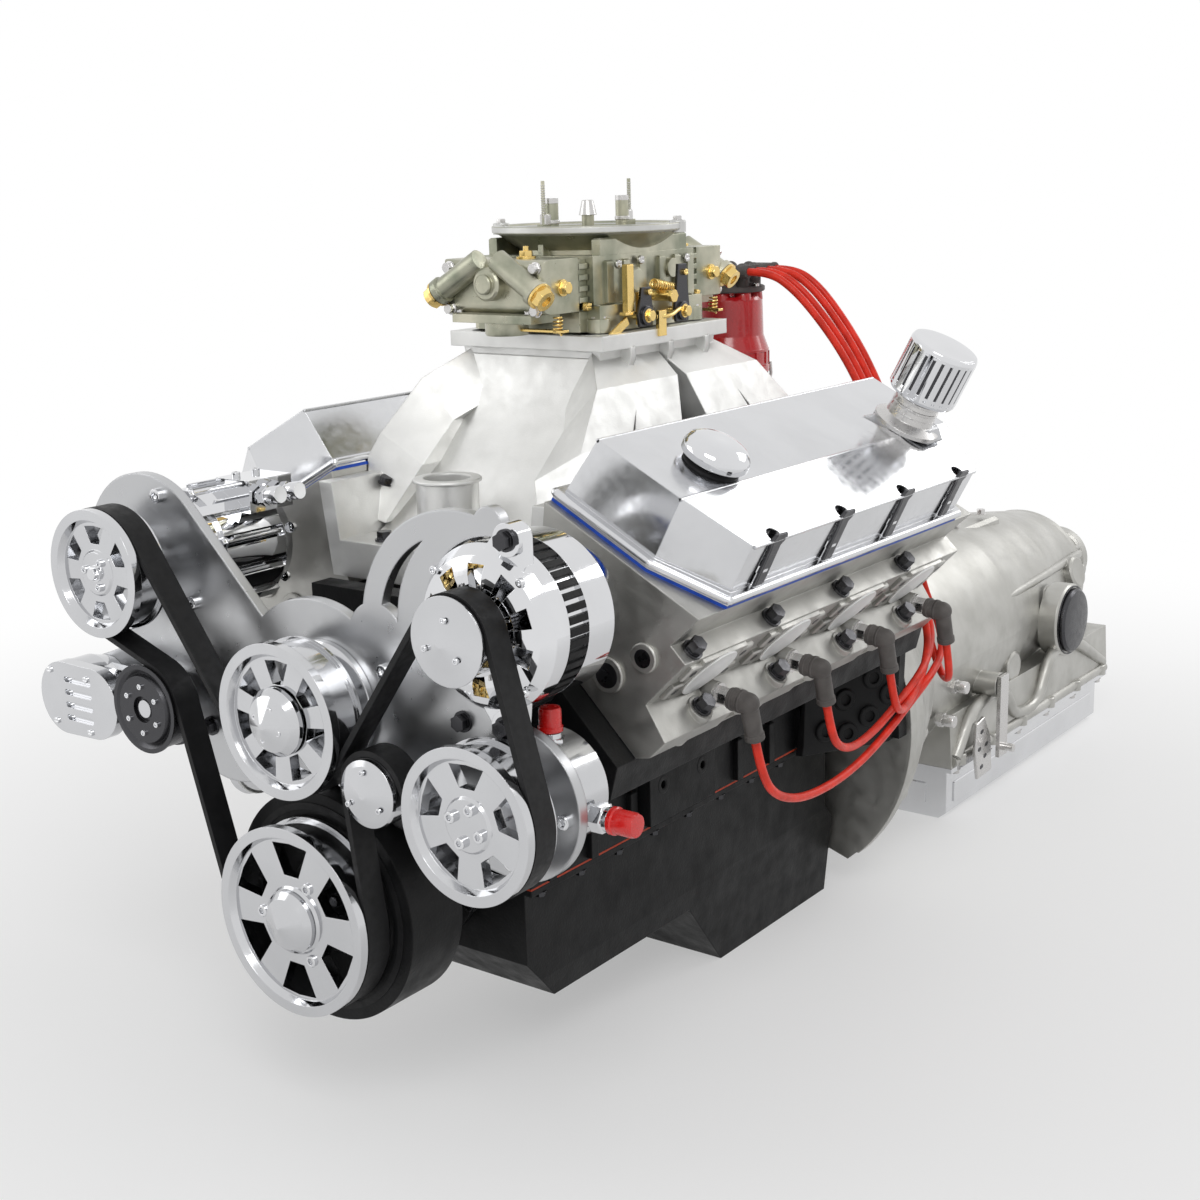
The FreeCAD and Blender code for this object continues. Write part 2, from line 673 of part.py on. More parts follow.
def upper_bolt_ys():
    return [y - BORE_SPACING / 3.0 for y in bore_ys()]


def scallop_ys():
    return [y + BORE_SPACING / 2.0 for y in bore_ys()[:-1]]


def head_gasket():
    sheet = block(-DECK_INNER, DECK_OUTER, HEAD_FRONT_Y, HEAD_FRONT_Y + HEAD_LENGTH,
                  DECK_HEIGHT, DECK_HEIGHT + GASKET)
    holes = [post(BORE_RADIUS, DECK_HEIGHT - 1, DECK_HEIGHT + 3, 0, y) for y in bore_ys()]
    return on_left_bank(sheet.cut(holes))


def head_bolts():
    base = DECK_HEIGHT + GASKET
    bolts = []
    up = V(0, 0, 1)
    for ys, seat in ((lower_bolt_ys(), LOWER_BOLT_SEAT), (upper_bolt_ys(), UPPER_BOLT_SEAT)):
        for y in ys:
            bolts.append(hex_bolt(HEAD_BOLT_RADIUS, HEAD_BOLT_HEIGHT, V(seat[0], y, base + seat[1]), up))
    left = [on_left_bank(bolt) for bolt in bolts]
    return left + [to_right(bolt) for bolt in left]


def exhaust_cover(y):
    disc = Part.makeCylinder(EXHAUST_COVER_RADIUS, EXHAUST_COVER_THICKNESS,
                             V(EXHAUST_FACE, y, EXHAUST_CENTRE), V(1, 0, 0))
    return on_left_bank(disc)


def cover_plan(inset, z0, z1):
    """The cover seen from above its rail, with its two outer corners cut off."""
    front = HEAD_FRONT_Y + COVER_INSET + inset
    back = HEAD_FRONT_Y + HEAD_LENGTH - COVER_INSET - inset
    outline = [(inset, front), (COVER_RAIL_WIDTH * 0.62, front), (COVER_RAIL_WIDTH - inset, front + 30),
               (COVER_RAIL_WIDTH - inset, back - 30), (COVER_RAIL_WIDTH * 0.62, back), (inset, back)]
    points = [V(x, y, z0) for x, y in outline]
    face = Part.Face(Part.makePolygon(points + points[:1]))
    return face.extrude(V(0, 0, z1 - z0))


def cover_body(wall):
    """The folded sheet form of the cover, drawn in by a wall."""
    low = COVER_GASKET
    top = COVER_HEIGHT - wall
    outline = [(5 + wall, low), (16 + wall, top - 1), (COVER_RAIL_WIDTH * 0.62, top),
               (COVER_RAIL_WIDTH - 4 - wall, top - 12), (COVER_RAIL_WIDTH - 2 - wall, low)]
    body = prism(outline, 0, BLOCK_LENGTH + 50)
    return body.common(cover_plan(5 + wall, 0, COVER_HEIGHT + 10))


def cover_gasket():
    ring = cover_plan(0, 0, COVER_GASKET).cut(cover_plan(12, -1, COVER_GASKET + 1))
    return on_cover_rail(ring)


def cover_well_ys():
    first = HEAD_FRONT_Y + COVER_WELL_FIRST
    return [first + COVER_WELL_SPACING * i for i in range(4)]


def cover_shell(extra=(), holes=()):
    rail = cover_plan(0, COVER_GASKET, COVER_GASKET + COVER_RAIL_THICKNESS)
    outside = cover_body(0)
    inside = cover_body(COVER_WALL)
    wells = []
    grooves = []
    for y in cover_well_ys():
        wells.append(post(COVER_WELL_RADIUS + COVER_WALL, COVER_GASKET, COVER_HEIGHT,
                          COVER_RAIL_WIDTH - 9, y).common(outside))
        grooves.append(post(COVER_WELL_RADIUS, COVER_GASKET + COVER_RAIL_THICKNESS, COVER_HEIGHT + 20,
                            COVER_RAIL_WIDTH - 7, y))
    shell = union([rail, outside]).cut(inside)
    shell = union([shell] + wells + list(extra)).cut(grooves + list(holes))
    return shell


def valve_cover_left():
    holes = [post(BREATHER_HOLE, COVER_HEIGHT - 20, COVER_HEIGHT + 20, BREATHER_A, BREATHER_Y),
             post(FILLER_RADIUS - 4, COVER_HEIGHT - 20, COVER_HEIGHT + 20, FILLER_A, FILLER_Y)]
    return on_cover_rail(cover_shell(holes=holes))


def valve_cover_right():
    return to_right(on_cover_rail(cover_shell()))


def cover_gaskets():
    left = cover_gasket()
    return group([left, to_right(left)])


def turned_up(profile, x, y):
    """A (radius, z) profile turned about the z line through x, y."""
    points = [V(x + radius, y, z) for radius, z in profile]
    face = Part.Face(Part.makePolygon(points + points[:1]))
    return face.revolve(V(x, y, 0), V(0, 0, 1), 360)


def filler_neck():
    top = COVER_HEIGHT + CLEAR
    outer = FILLER_RADIUS
    inner = FILLER_RADIUS - 4
    neck = turned_up([(inner, top), (outer + 12, top), (outer + 12, top + 4), (outer + 3, top + 10),
                      (outer, top + FILLER_HEIGHT), (inner, top + FILLER_HEIGHT)], FILLER_A, FILLER_Y)
    return on_cover_rail(neck)


def filler_cap():
    base = COVER_HEIGHT + CLEAR + FILLER_HEIGHT + CLEAR
    radius = FILLER_CAP_RADIUS
    top = base + FILLER_CAP_HEIGHT
    cap = turned_up([(0, base), (radius - 2, base), (radius, base + 3), (radius, top - 4),
                     (radius - 4, top), (0, top)], FILLER_A, FILLER_Y)
    plug = post(FILLER_RADIUS - 4 - RUNNING * 2, base - 22, base, FILLER_A, FILLER_Y)
    groove = Part.makeCylinder(1.6, 44, V(FILLER_A + radius + 0.4, FILLER_Y, base + 5))
    grooves = []
    for i in range(24):
        copy = groove.copy()
        copy.rotate(V(FILLER_A, FILLER_Y, 0), V(0, 0, 1), 15.0 * i)
        grooves.append(copy)
    return on_cover_rail(union([cap, plug]).cut(grooves))


def breather_cap():
    seat = COVER_HEIGHT + CLEAR
    base = seat + BREATHER_LIFT
    collar = post(BREATHER_HOLE + 4, seat, base + 4, BREATHER_A, BREATHER_Y)
    cap = turned_up([(0, base + 5), (BREATHER_RADIUS - 3, base), (BREATHER_RADIUS, base + 3),
                     (BREATHER_RADIUS, base + 10), (BREATHER_RADIUS - 4, base + 16), (0, base + 18)],
                    BREATHER_A, BREATHER_Y)
    stem = post(BREATHER_HOLE - RUNNING * 2, seat - 14, base + 8, BREATHER_A, BREATHER_Y)
    return on_cover_rail(union([cap, collar, stem]))


def boot_ends(y):
    """The elbow and the wire end of the boot on the left plug of the bore at y."""
    x, z = bank_point(PLUG_U, HEAD_BASE + PLUG_RISE)
    elbow = V(x + BOOT_REACH[0], y + PLUG_OFFSET, z + BOOT_REACH[1])
    return elbow, elbow.add(V(*BOOT_DROP))


def plug_seat(y):
    """Where the left plug of the bore at y leaves the head, and its direction."""
    x, z = bank_point(PLUG_U, HEAD_BASE + PLUG_RISE)
    seat = V(x, y + PLUG_OFFSET, z)
    axis = boot_ends(y)[0].sub(seat)
    axis.normalize()
    return seat, axis


def spark_plugs():
    plugs = []
    for y in bore_ys():
        seat, axis = plug_seat(y)
        nose = Part.makeCylinder(PLUG_RADIUS, PLUG_REACH, seat, axis)
        plugs.append(hex_bolt(PLUG_HEX, 12, seat, axis).fuse(nose).removeSplitter())
    return group(plugs + [to_right(plug) for plug in plugs])


def plug_boot(y):
    """An elbow boot pushed over the plug, turned down to its wire."""
    seat, axis = plug_seat(y)
    elbow, end = boot_ends(y)
    mouth = seat.add(V(axis).multiply(13.0))
    down = end.sub(elbow)
    socket = Part.makeCylinder(BOOT_RADIUS, elbow.sub(mouth).Length, mouth, axis)
    leg = Part.makeCylinder(BOOT_RADIUS - 1.5, down.Length, elbow, down)
    bore = Part.makeCylinder(PLUG_RADIUS + RUNNING, PLUG_REACH - 12.5, mouth, axis)
    return union([socket, leg, Part.makeSphere(BOOT_RADIUS, elbow)]).cut(bore)


def terminal_boot(x, y):
    """An elbow boot on one tower of the distributor cap, turned out to its wire."""
    side = 1 if x > 0 else -1
    z0 = DISTRIBUTOR_CAP_TOP + CLEAR
    z1 = TERMINAL_WIRE_Z
    leg = post(TERMINAL_BOOT_RADIUS, z0, z1, x, y)
    length = TERMINAL_WIRE_X - abs(x)
    arm = Part.makeCylinder(TERMINAL_BOOT_RADIUS - 1, length, V(x, y, z1), V(side, 0, 0))
    bore = post(TERMINAL_RADIUS + RUNNING, z0 - 1, DISTRIBUTOR_CAP_TOP + TERMINAL_HEIGHT + RUNNING, x, y)
    return union([leg, arm, Part.makeSphere(TERMINAL_BOOT_RADIUS + CLEAR, V(x, y, z1))]).cut(bore)


def plug_boots():
    left = [plug_boot(y) for y in bore_ys()]
    tops = [terminal_boot(x, y) for x, y in terminal_places()]
    return group(left + [to_right(boot) for boot in left] + tops)


def wire_route(cylinder, side):
    """The points of one plug wire, from its boot to its distributor terminal."""
    stagger = BANK_STAGGER if side < 0 else 0.0
    elbow, tip = boot_ends(bore_ys()[cylinder])
    drop = tip.sub(elbow)
    below = tip.add(drop.multiply(WIRE_DROP / drop.Length))
    lower = [(p.x, p.y, p.z) for p in (tip, below)] + list(WIRE_LOWER_ROUTES[cylinder])
    points = [V(side * x, y + stagger, z) for x, y, z in lower]
    lane = WIRE_LANES[cylinder] + stagger
    end = terminal_y(cylinder)
    for x, z, share in WIRE_UPPER_ROUTE:
        points.append(V(side * x, lane + (end - lane) * share, z))
    points.append(V(side * (TERMINAL_WIRE_X + RUNNING), end, TERMINAL_WIRE_Z))
    return points


def terminal_y(cylinder):
    """The y of the terminal that a cylinder's wire goes to, the same on both sides."""
    ys = sorted((y for x, y in terminal_places() if x > 0), reverse=True)
    return ys[cylinder]


def cord_tube(points, radius):
    """A tube on straight runs joined by tangent arcs, with its tightest arc's radius."""
    at = points[0]
    ring = Part.makeCircle(radius, at, points[1].sub(at))
    faces = [Part.Face(Part.Wire(ring))]
    length = 0.0
    tightest = math.inf
    for before, corner, after in zip(points[:-2], points[1:-1], points[2:]):
        back = before.sub(corner)
        ahead = after.sub(corner)
        shorter = min(back.Length, ahead.Length)
        back.normalize()
        ahead.normalize()
        turn = math.pi - back.getAngle(ahead)
        cut = 0.45 * shorter
        bend = cut / math.tan(turn / 2.0)
        tightest = min(tightest, bend)
        run = corner.add(V(back).multiply(cut)).sub(at)
        axis = ahead.cross(back)
        inward = back.add(ahead)
        inward.normalize()
        centre = corner.add(inward.multiply(bend / math.cos(turn / 2.0)))
        faces.append(ring.extrude(run))
        ring.translate(run)
        faces.append(ring.revolve(centre, axis, math.degrees(turn)))
        ring.rotate(centre, axis, math.degrees(turn))
        at = corner.add(V(ahead).multiply(cut))
        length += run.Length + bend * turn
    run = points[-1].sub(at)
    faces.append(ring.extrude(run))
    ring.translate(run)
    faces.append(Part.Face(Part.Wire(ring)))
    skin = Part.Compound(faces)
    skin.sewShape()
    return Part.Solid(skin.Shells[0]), length + run.Length, tightest


def plug_wires(side):
    wires = []
    for cylinder in range(CYLINDERS_PER_BANK):
        solid, length, tightest = cord_tube(wire_route(cylinder, side), WIRE_RADIUS)
        expected = math.pi * WIRE_RADIUS ** 2 * length
        print("plug wire", side, cylinder + 1, "length", round(length), "tightest bend", round(tightest, 1),
              "volume over section times length", round(solid.Volume / expected, 4))
        wires.append(solid)
    return group(wires)


# Intake and carburettor

def intake_face_x(z):
    """x at a height on the intake's side, a gasket inside the left head's intake face."""
    low = bank_point(-DECK_INNER, DECK_HEIGHT + GASKET)
    high = COVER_RAIL_INNER
    return low[0] + (z - low[1]) * (high[0] - low[0]) / (high[1] - low[1]) - GASKET


def between_banks(z0, z1):
    """The room between the heads and the valve covers, from z0 to z1."""
    corner = COVER_RAIL_INNER
    lip = rail_point(-2.0, COVER_GASKET + COVER_RAIL_THICKNESS + 2.0)
    shoulder = rail_point(12.0, COVER_HEIGHT + 5.0)
    half = [(intake_face_x(z0), z0), (intake_face_x(corner[1]), corner[1]), lip, shoulder, (shoulder[0], z1)]
    return prism(mirrored_outline(half), 0, BLOCK_LENGTH)


def intake_manifold():
    front = HEAD_FRONT_Y + 6
    back = BLOCK_LENGTH - INTAKE_END_GAP
    floor = END_RAIL_HEIGHT + GASKET
    top = COVER_RAIL_INNER[1] - 6.0
    low = (intake_face_x(floor), floor)
    high = (intake_face_x(top), top)
    thick = 16.0
    flange = [low, high, (high[0] - thick, high[1]), (low[0] - thick, floor)]
    body = [prism(flange, front, back), prism([(-x, z) for x, z in flange], front, back)]
    reach = low[0] - 2
    body.append(block(-reach, reach, front, front + 52, floor, floor + 34))
    body.append(block(-reach, reach, DISTRIBUTOR_Y - 19, back, floor, floor + 26))
    body.append(loft_block([(PLENUM_HALF_WIDTH - 8, PLENUM_HALF_LENGTH - 4, CARB_BASE_Z - 62),
                            (PLENUM_HALF_WIDTH, PLENUM_HALF_LENGTH, CARB_BASE_Z - 6)]))
    body.append(block(-PLENUM_HALF_WIDTH - 8, PLENUM_HALF_WIDTH + 8, CARB_Y - PLENUM_HALF_LENGTH - 8,
                      CARB_Y + PLENUM_HALF_LENGTH + 8, CARB_BASE_Z - PLENUM_FLANGE, CARB_BASE_Z))
    room = between_banks(floor, CARB_BASE_Z)
    for side in (1, -1):
        for i, y in enumerate(bore_ys()):
            port_y = y + (BANK_STAGGER if side < 0 else 0) + (-14 if i % 2 else 14)
            body.append(runner(side, i, port_y, high).common(room))
    body.append(post(WATER_NECK_RADIUS, floor, WATER_NECK_Z, 0, WATER_NECK_Y))
    body.append(post(DISTRIBUTOR_STEM_RADIUS + 14, floor, floor + 46, 0, DISTRIBUTOR_Y))
    holes = [post(WATER_NECK_BORE, floor + 22, WATER_NECK_Z + 1, 0, WATER_NECK_Y),
             post(DISTRIBUTOR_STEM_RADIUS + CLEAR, floor - 5, floor + 60, 0, DISTRIBUTOR_Y)]
    for x, y in barrel_places():
        holes.append(post(BARREL_RADIUS, CARB_BASE_Z - 44, CARB_BASE_Z + 1, x, y))
    return union(body).cut(holes)


def barrel_places():
    return [(x, CARB_Y + y) for x in (-BARREL_SPACING_X / 2.0, BARREL_SPACING_X / 2.0)
            for y in (-BARREL_SPACING_Y / 2.0, BARREL_SPACING_Y / 2.0)]


def loft_block(sections):
    """A lofted block whose sections are half width, half length and height about the carburettor."""
    wires = []
    for half_x, half_y, z in sections:
        corners = [V(-half_x, CARB_Y - half_y, z), V(half_x, CARB_Y - half_y, z),
                   V(half_x, CARB_Y + half_y, z), V(-half_x, CARB_Y + half_y, z)]
        wires.append(Part.makePolygon(corners + corners[:1]))
    return Part.makeLoft(wires, True, True)


def runner(side, index, port_y, high):
    """One tapering runner from the side of the plenum down to its port in the head."""
    spread = (index - 1.5) / 1.5
    start_y = CARB_Y + spread * (PLENUM_HALF_LENGTH - 30)
    stations = [
        (PLENUM_HALF_WIDTH - 30, start_y, CARB_BASE_Z - 34, 24, 26),
        (PLENUM_HALF_WIDTH + 6, start_y + (port_y - start_y) * 0.34, CARB_BASE_Z - 62, 33, 27),
        (high[0] - 34, start_y + (port_y - start_y) * 0.75, high[1] + 22, 38, 29),
        (high[0] - 2, port_y, high[1] - 40, 41, 30),
    ]
    slopes = (35.0, 45.0, 62.0, 80.0)
    wires = []
    for (x, y, z, half_y, half_w), slope in zip(stations, slopes):
        a = math.radians(slope)
        across = V(side * math.sin(a), 0, math.cos(a))
        centre = V(side * x, y, z)
        up = V(across).multiply(half_w)
        along = V(0, half_y, 0)
        corners = [centre.sub(up).sub(along), centre.add(up).sub(along),
                   centre.add(up).add(along), centre.sub(up).add(along)]
        wires.append(Part.makePolygon(corners + corners[:1]))
    return Part.makeLoft(wires, True, True)


def intake_bolts():
    bolts = []
    top = END_RAIL_HEIGHT + GASKET + 34
    for x in (-72, 72):
        bolts.append(hex_bolt(7.0, 9.0, V(x, HEAD_FRONT_Y + 24, top), V(0, 0, 1)))
    return bolts


def carb_throttle_body():
    base = CARB_BASE_Z + GASKET
    body = block(-74, 74, CARB_Y - 84, CARB_Y + 84, base, base + 24)
    holes = [post(BARREL_RADIUS, base - 1, base + 25, x, y) for x, y in barrel_places()]
    for y in throttle_ys():
        bore = THROTTLE_SHAFT_RADIUS + RUNNING
        holes.append(Part.makeCylinder(bore, 300, V(-150, y, base + 12), V(1, 0, 0)))
    for x in (-66, 66):
        for y in (CARB_Y - 76, CARB_Y + 76):
            holes.append(post(4.2, base - 1, base + 25, x, y))
    return body.cut(holes)


def throttle_ys():
    return [CARB_Y - BARREL_SPACING_Y / 2.0, CARB_Y + BARREL_SPACING_Y / 2.0]


def carb_main_body():
    base = CARB_BASE_Z + GASKET + 24 + CLEAR
    body = block(-66, 66, CARB_Y - 82, CARB_Y + 82, base, base + 44)
    horn = turned_at_carb([(HORN_RADIUS, base + 40), (HORN_RADIUS, base + 48),
                           (AIR_RING_RADIUS - 6, base + 62), (AIR_RING_RADIUS, base + 64),
                           (AIR_RING_RADIUS, base + 70), (AIR_RING_RADIUS - 8, base + 70),
                           (AIR_RING_RADIUS - 12, base + 67), (HORN_RADIUS - 6, base + 54),
                           (HORN_RADIUS - 8, base + 40)])
    stud_bar = block(-HORN_RADIUS + 4, HORN_RADIUS - 4, CARB_Y - 4, CARB_Y + 4, base + 42, base + 52)
    stud = turned_at_carb([(0, base + 50), (5.9, base + 50), (5.9, base + 78),
                           (4.8, base + 92), (0, base + 92)])
    body = union([body, horn, stud_bar])
    cuts = [post(BARREL_RADIUS - 3, base - 1, base + 60, x, y).cut(stud_bar) for x, y in barrel_places()]
    towers = []
    for side in (-1, 1):
        y = CARB_Y + side * VENT_TOWER_OFFSET
        towers.append(post(VENT_TOWER_RADIUS, base + 40, base + 95, 0, y))
        towers.append(block(-3, 3, *sorted((y, y + side * 18)), base + 40, base + 72))
        towers.append(post(1.8, base + 70, base + 111, 0, y + side * 12))
    return union([body.cut(cuts), stud] + towers)


def turned_at_carb(profile):
    return turned_up(profile, 0, CARB_Y)


def carb_bowl(front):
    """A fuel bowl with its metering block, on the front or rear of the main body."""
    base = CARB_BASE_Z + GASKET + 26
    side = -1 if front else 1
    near = CARB_Y + side * (82 + CLEAR)
    far = CARB_Y + side * CARB_HALF_LENGTH
    meter = block(-58, 58, *sorted((near, near + side * 14)), base + 2, base + 40)
    bowl = block(-60, 60, *sorted((near + side * 14, far)), base - 6, base + 42)
    bowl = bowl.makeFillet(8, [e for e in bowl.Edges if abs(e.CenterOfMass.y - far) < 0.1])
    return union([meter, bowl])


def throttle_shaft(y, levers):
    """A throttle shaft with its two plates, closed at rest, and its outside lever."""
    z = CARB_BASE_Z + GASKET + 12
    shaft = Part.makeCylinder(THROTTLE_SHAFT_RADIUS, 176, V(-88, y, z), V(1, 0, 0))
    plates = []
    for x in (-BARREL_SPACING_X / 2.0, BARREL_SPACING_X / 2.0):
        plates.append(post(BARREL_RADIUS - CLEAR, z - 1.2, z + 1.2, x, y))
    lever = block(80, 84, y - 7, y + 7, z - 8, z + levers)
    return union([shaft, lever] + plates)


# Distributor

def distributor_housing():
    stem = post(DISTRIBUTOR_STEM_RADIUS, CAM_HEIGHT + CAM_JOURNAL_RADIUS + 12, END_RAIL_HEIGHT + 52,
                0, DISTRIBUTOR_Y)
    collar = turned_up([(0, END_RAIL_HEIGHT + 52), (24, END_RAIL_HEIGHT + 52), (24, END_RAIL_HEIGHT + 60),
                        (18, END_RAIL_HEIGHT + 70), (18, DISTRIBUTOR_CAP_BASE - 40),
                        (DISTRIBUTOR_CAP_RADIUS - 4, DISTRIBUTOR_CAP_BASE - 22),
                        (DISTRIBUTOR_CAP_RADIUS - 2, DISTRIBUTOR_CAP_BASE), (0, DISTRIBUTOR_CAP_BASE)],
                       0, DISTRIBUTOR_Y)
    bowl = post(DISTRIBUTOR_CAP_RADIUS - 10, DISTRIBUTOR_CAP_BASE - 16, DISTRIBUTOR_CAP_BASE + 1,
                0, DISTRIBUTOR_Y)
    bore = post(DISTRIBUTOR_SHAFT_RADIUS + RUNNING, 0, DISTRIBUTOR_CAP_BASE, 0, DISTRIBUTOR_Y)
    return union([stem, collar]).cut([bowl, bore])


def distributor_shaft():
    z0 = CAM_HEIGHT + CAM_JOURNAL_RADIUS + 2
    shaft = post(DISTRIBUTOR_SHAFT_RADIUS, z0, DISTRIBUTOR_CAP_BASE + 6, 0, DISTRIBUTOR_Y)
    gear = post(11, z0, z0 + 9, 0, DISTRIBUTOR_Y)
    rotor = block(-9, 26, DISTRIBUTOR_Y - 8, DISTRIBUTOR_Y + 8,
                  DISTRIBUTOR_CAP_BASE + 4, DISTRIBUTOR_CAP_BASE + 20)
    return union([shaft, gear, rotor])


def terminal_places():
    """Eight plug terminals in a ring on top of the cap."""
    places = []
    for i in range(2 * CYLINDERS_PER_BANK):
        a = math.radians(22.5 + 45 * i)
        places.append((TERMINAL_RING * math.cos(a), DISTRIBUTOR_Y + TERMINAL_RING * math.sin(a)))
    return places


def distributor_cap():
    base = DISTRIBUTOR_CAP_BASE + CLEAR
    top = DISTRIBUTOR_CAP_TOP
    cap = turned_up([(0, base), (DISTRIBUTOR_CAP_RADIUS, base), (DISTRIBUTOR_CAP_RADIUS, base + 26),
                     (DISTRIBUTOR_CAP_RADIUS - 5, base + 40), (DISTRIBUTOR_CAP_RADIUS - 6, top - 4),
                     (DISTRIBUTOR_CAP_RADIUS - 9, top), (0, top)], 0, DISTRIBUTOR_Y)
    hollow = turned_up([(0, base - 1), (DISTRIBUTOR_CAP_RADIUS - 6, base - 1),
                        (DISTRIBUTOR_CAP_RADIUS - 10, top - 14),
                        (0, top - 14)], 0, DISTRIBUTOR_Y)
    towers = [post(TERMINAL_RADIUS, top - 6, top + TERMINAL_HEIGHT, x, y) for x, y in terminal_places()]
    return union([cap.cut(hollow)] + towers)


# Front drive

def belt_route(inner):
    """The drive belt's pulleys in order, with radii of the belt's inner or outer line."""
    stops = [((0.0, 0.0), CRANK_PULLEY_RADIUS, True), (IDLER_CENTRE, IDLER_RADIUS, False),
             (STEERING_CENTRE, STEERING_RADIUS, True), (ALTERNATOR_CENTRE, ALTERNATOR_RADIUS, True),
             (WATER_PUMP_CENTRE, WATER_PUMP_RADIUS, False), (COMPRESSOR_CENTRE, COMPRESSOR_RADIUS, True),
             (TENSIONER_CENTRE, TENSIONER_RADIUS, False)]
    circles = []
    for centre, radius, inside in stops:
        grow = CLEAR if inside == inner else CLEAR + BELT_THICKNESS
        circles.append((centre[0], centre[1], radius + grow, inside))
    return circles


def drive_belt():
    outside = wrap(belt_route(False), BELT_FRONT, BELT_BACK)
    inside = wrap(belt_route(True), BELT_FRONT - 1, BELT_BACK + 1)
    return outside.cut(inside)


def spoked_pulley(centre, belt_radius, windows, back):
    """A dished pulley with trapezoid windows; its belt face takes the ribbed belt."""
    x, z = centre
    rim = belt_radius + PULLEY_FLANGE
    face = PULLEY_FRONT
    hub = belt_radius * 0.36
    web = face + PULLEY_DISH
    profile = [(0, face + 4), (hub, face + 4), (hub + 2, web), (rim - 12, web), (rim - 9, face),
               (rim, face), (rim, BELT_FRONT - 1),
               (belt_radius, BELT_FRONT - 1), (belt_radius, BELT_BACK + 1),
               (rim - 2, BELT_BACK + 1), (rim - 2, BELT_BACK + 4), (belt_radius - 8, BELT_BACK + 4),
               (belt_radius - 8, face + 16), (hub + 3, face + 16), (hub + 1, back), (0, back)]
    body = turned(profile, x, z)
    inner = belt_radius * PULLEY_WINDOW_START
    outer = rim - 15
    half = math.pi / windows
    gap = PULLEY_SPOKE_SHARE
    window = prism([(inner * math.sin(half * gap), inner), (outer * math.sin(half * (1 - gap)), outer * 0.97),
                    (0, outer), (-outer * math.sin(half * (1 - gap)), outer * 0.97),
                    (-inner * math.sin(half * gap), inner)], face - 1, face + 18)
    window.translate(V(x, 0, z))
    return body.cut(around(window, windows, x, z))


def cone_cap(centre, radius, height, gap):
    """A turned nose cap that stands on the front of a pulley."""
    profile = [(0, PULLEY_FRONT + 4 - gap), (radius, PULLEY_FRONT + 4 - gap), (radius, PULLEY_FRONT),
               (radius * 0.82, PULLEY_FRONT - height * 0.35), (0, PULLEY_FRONT - height)]
    return turned(profile, *centre)


def harmonic_damper():
    back = DAMPER_BACK
    front = BELT_BACK + 8
    profile = [(CRANK_SNOUT_RADIUS, front), (40, front), (44, front + 8), (78, front + 8), (80, front),
               (DAMPER_RADIUS, front), (DAMPER_RADIUS, back), (80, back), (78, back - 14), (36, back - 14),
               (34, back), (CRANK_SNOUT_RADIUS, back)]
    return turned(profile)


def crank_pulley():
    body = spoked_pulley((0, 0), CRANK_PULLEY_RADIUS, 6, BELT_BACK + 8)
    return body.cut(rod(CRANK_SNOUT_RADIUS, PULLEY_FRONT + 11, 0))


def crank_pulley_cap():
    return cone_cap((0, 0), 27.0, 14.0, CLEAR)


def water_pump_housing():
    x, z = WATER_PUMP_CENTRE
    front = -116.0
    barrel = turned([(0, front), (48, front), (56, front + 6),
                     (56, BRACKET_FRONT - CLEAR), (40, BRACKET_FRONT - CLEAR),
                     (40, BRACKET_BACK + CLEAR), (62, BRACKET_BACK + CLEAR), (62, -52), (50, WATER_BACK_FACE),
                     (0, WATER_BACK_FACE)], x, z)
    feet = []
    for side in (-1, 1):
        foot = (side * WATER_FOOT[0], WATER_FOOT[1])
        waist = (x + side * 14, z)
        feet.append(capsule(waist, foot, 40, WATER_FOOT_RADIUS, -70, WATER_BACK_FACE - 4))
        feet.append(rod(WATER_FOOT_RADIUS - 2, -62, -CLEAR, *foot))
    start = V(x + INLET_START[0], INLET_Y, z + INLET_START[1])
    inlet = Part.makeCylinder(INLET_RADIUS, INLET_LENGTH, start, V(-1, 0, INLET_FALL))
    boss = rod(INLET_BOSS_RADIUS, INLET_Y - INLET_RADIUS - 3, WATER_BACK_FACE, start.x, start.z)
    way = V(-1, 0, INLET_FALL)
    way.normalize()
    hose_start = start.add(V(way).multiply(INLET_LENGTH - HOSE_LENGTH))
    hose_end = Part.makeCylinder(HOSE_RADIUS, HOSE_LENGTH, hose_start, way)
    body = union([barrel, boss, inlet, hose_end] + feet)
    bore = rod(WATER_SHAFT_RADIUS + RUNNING, front - 1, -40, x, z)
    chamber = rod(34, -66, WATER_BACK_FACE + 1, x, z)
    drill = Part.makeCylinder(INLET_RADIUS - INLET_WALL, INLET_LENGTH + 1, start, V(-1, 0, INLET_FALL))
    return body.cut([bore, chamber, drill])


def water_pump_pulley():
    x, z = WATER_PUMP_CENTRE
    body = spoked_pulley(WATER_PUMP_CENTRE, WATER_PUMP_RADIUS, 7, -117.0)
    shaft = rod(WATER_SHAFT_RADIUS, -120, -50, x, z)
    wheel = rod(30, -60, -56, x, z)
    blade = block(x - 1.5, x + 1.5, -66 + CLEAR, -56, z + 8, z + 30)
    cap = cone_cap(WATER_PUMP_CENTRE, 29.0, 16.0, 0.0)
    return union([body, shaft, wheel, cap] + around(blade, 6, x, z))


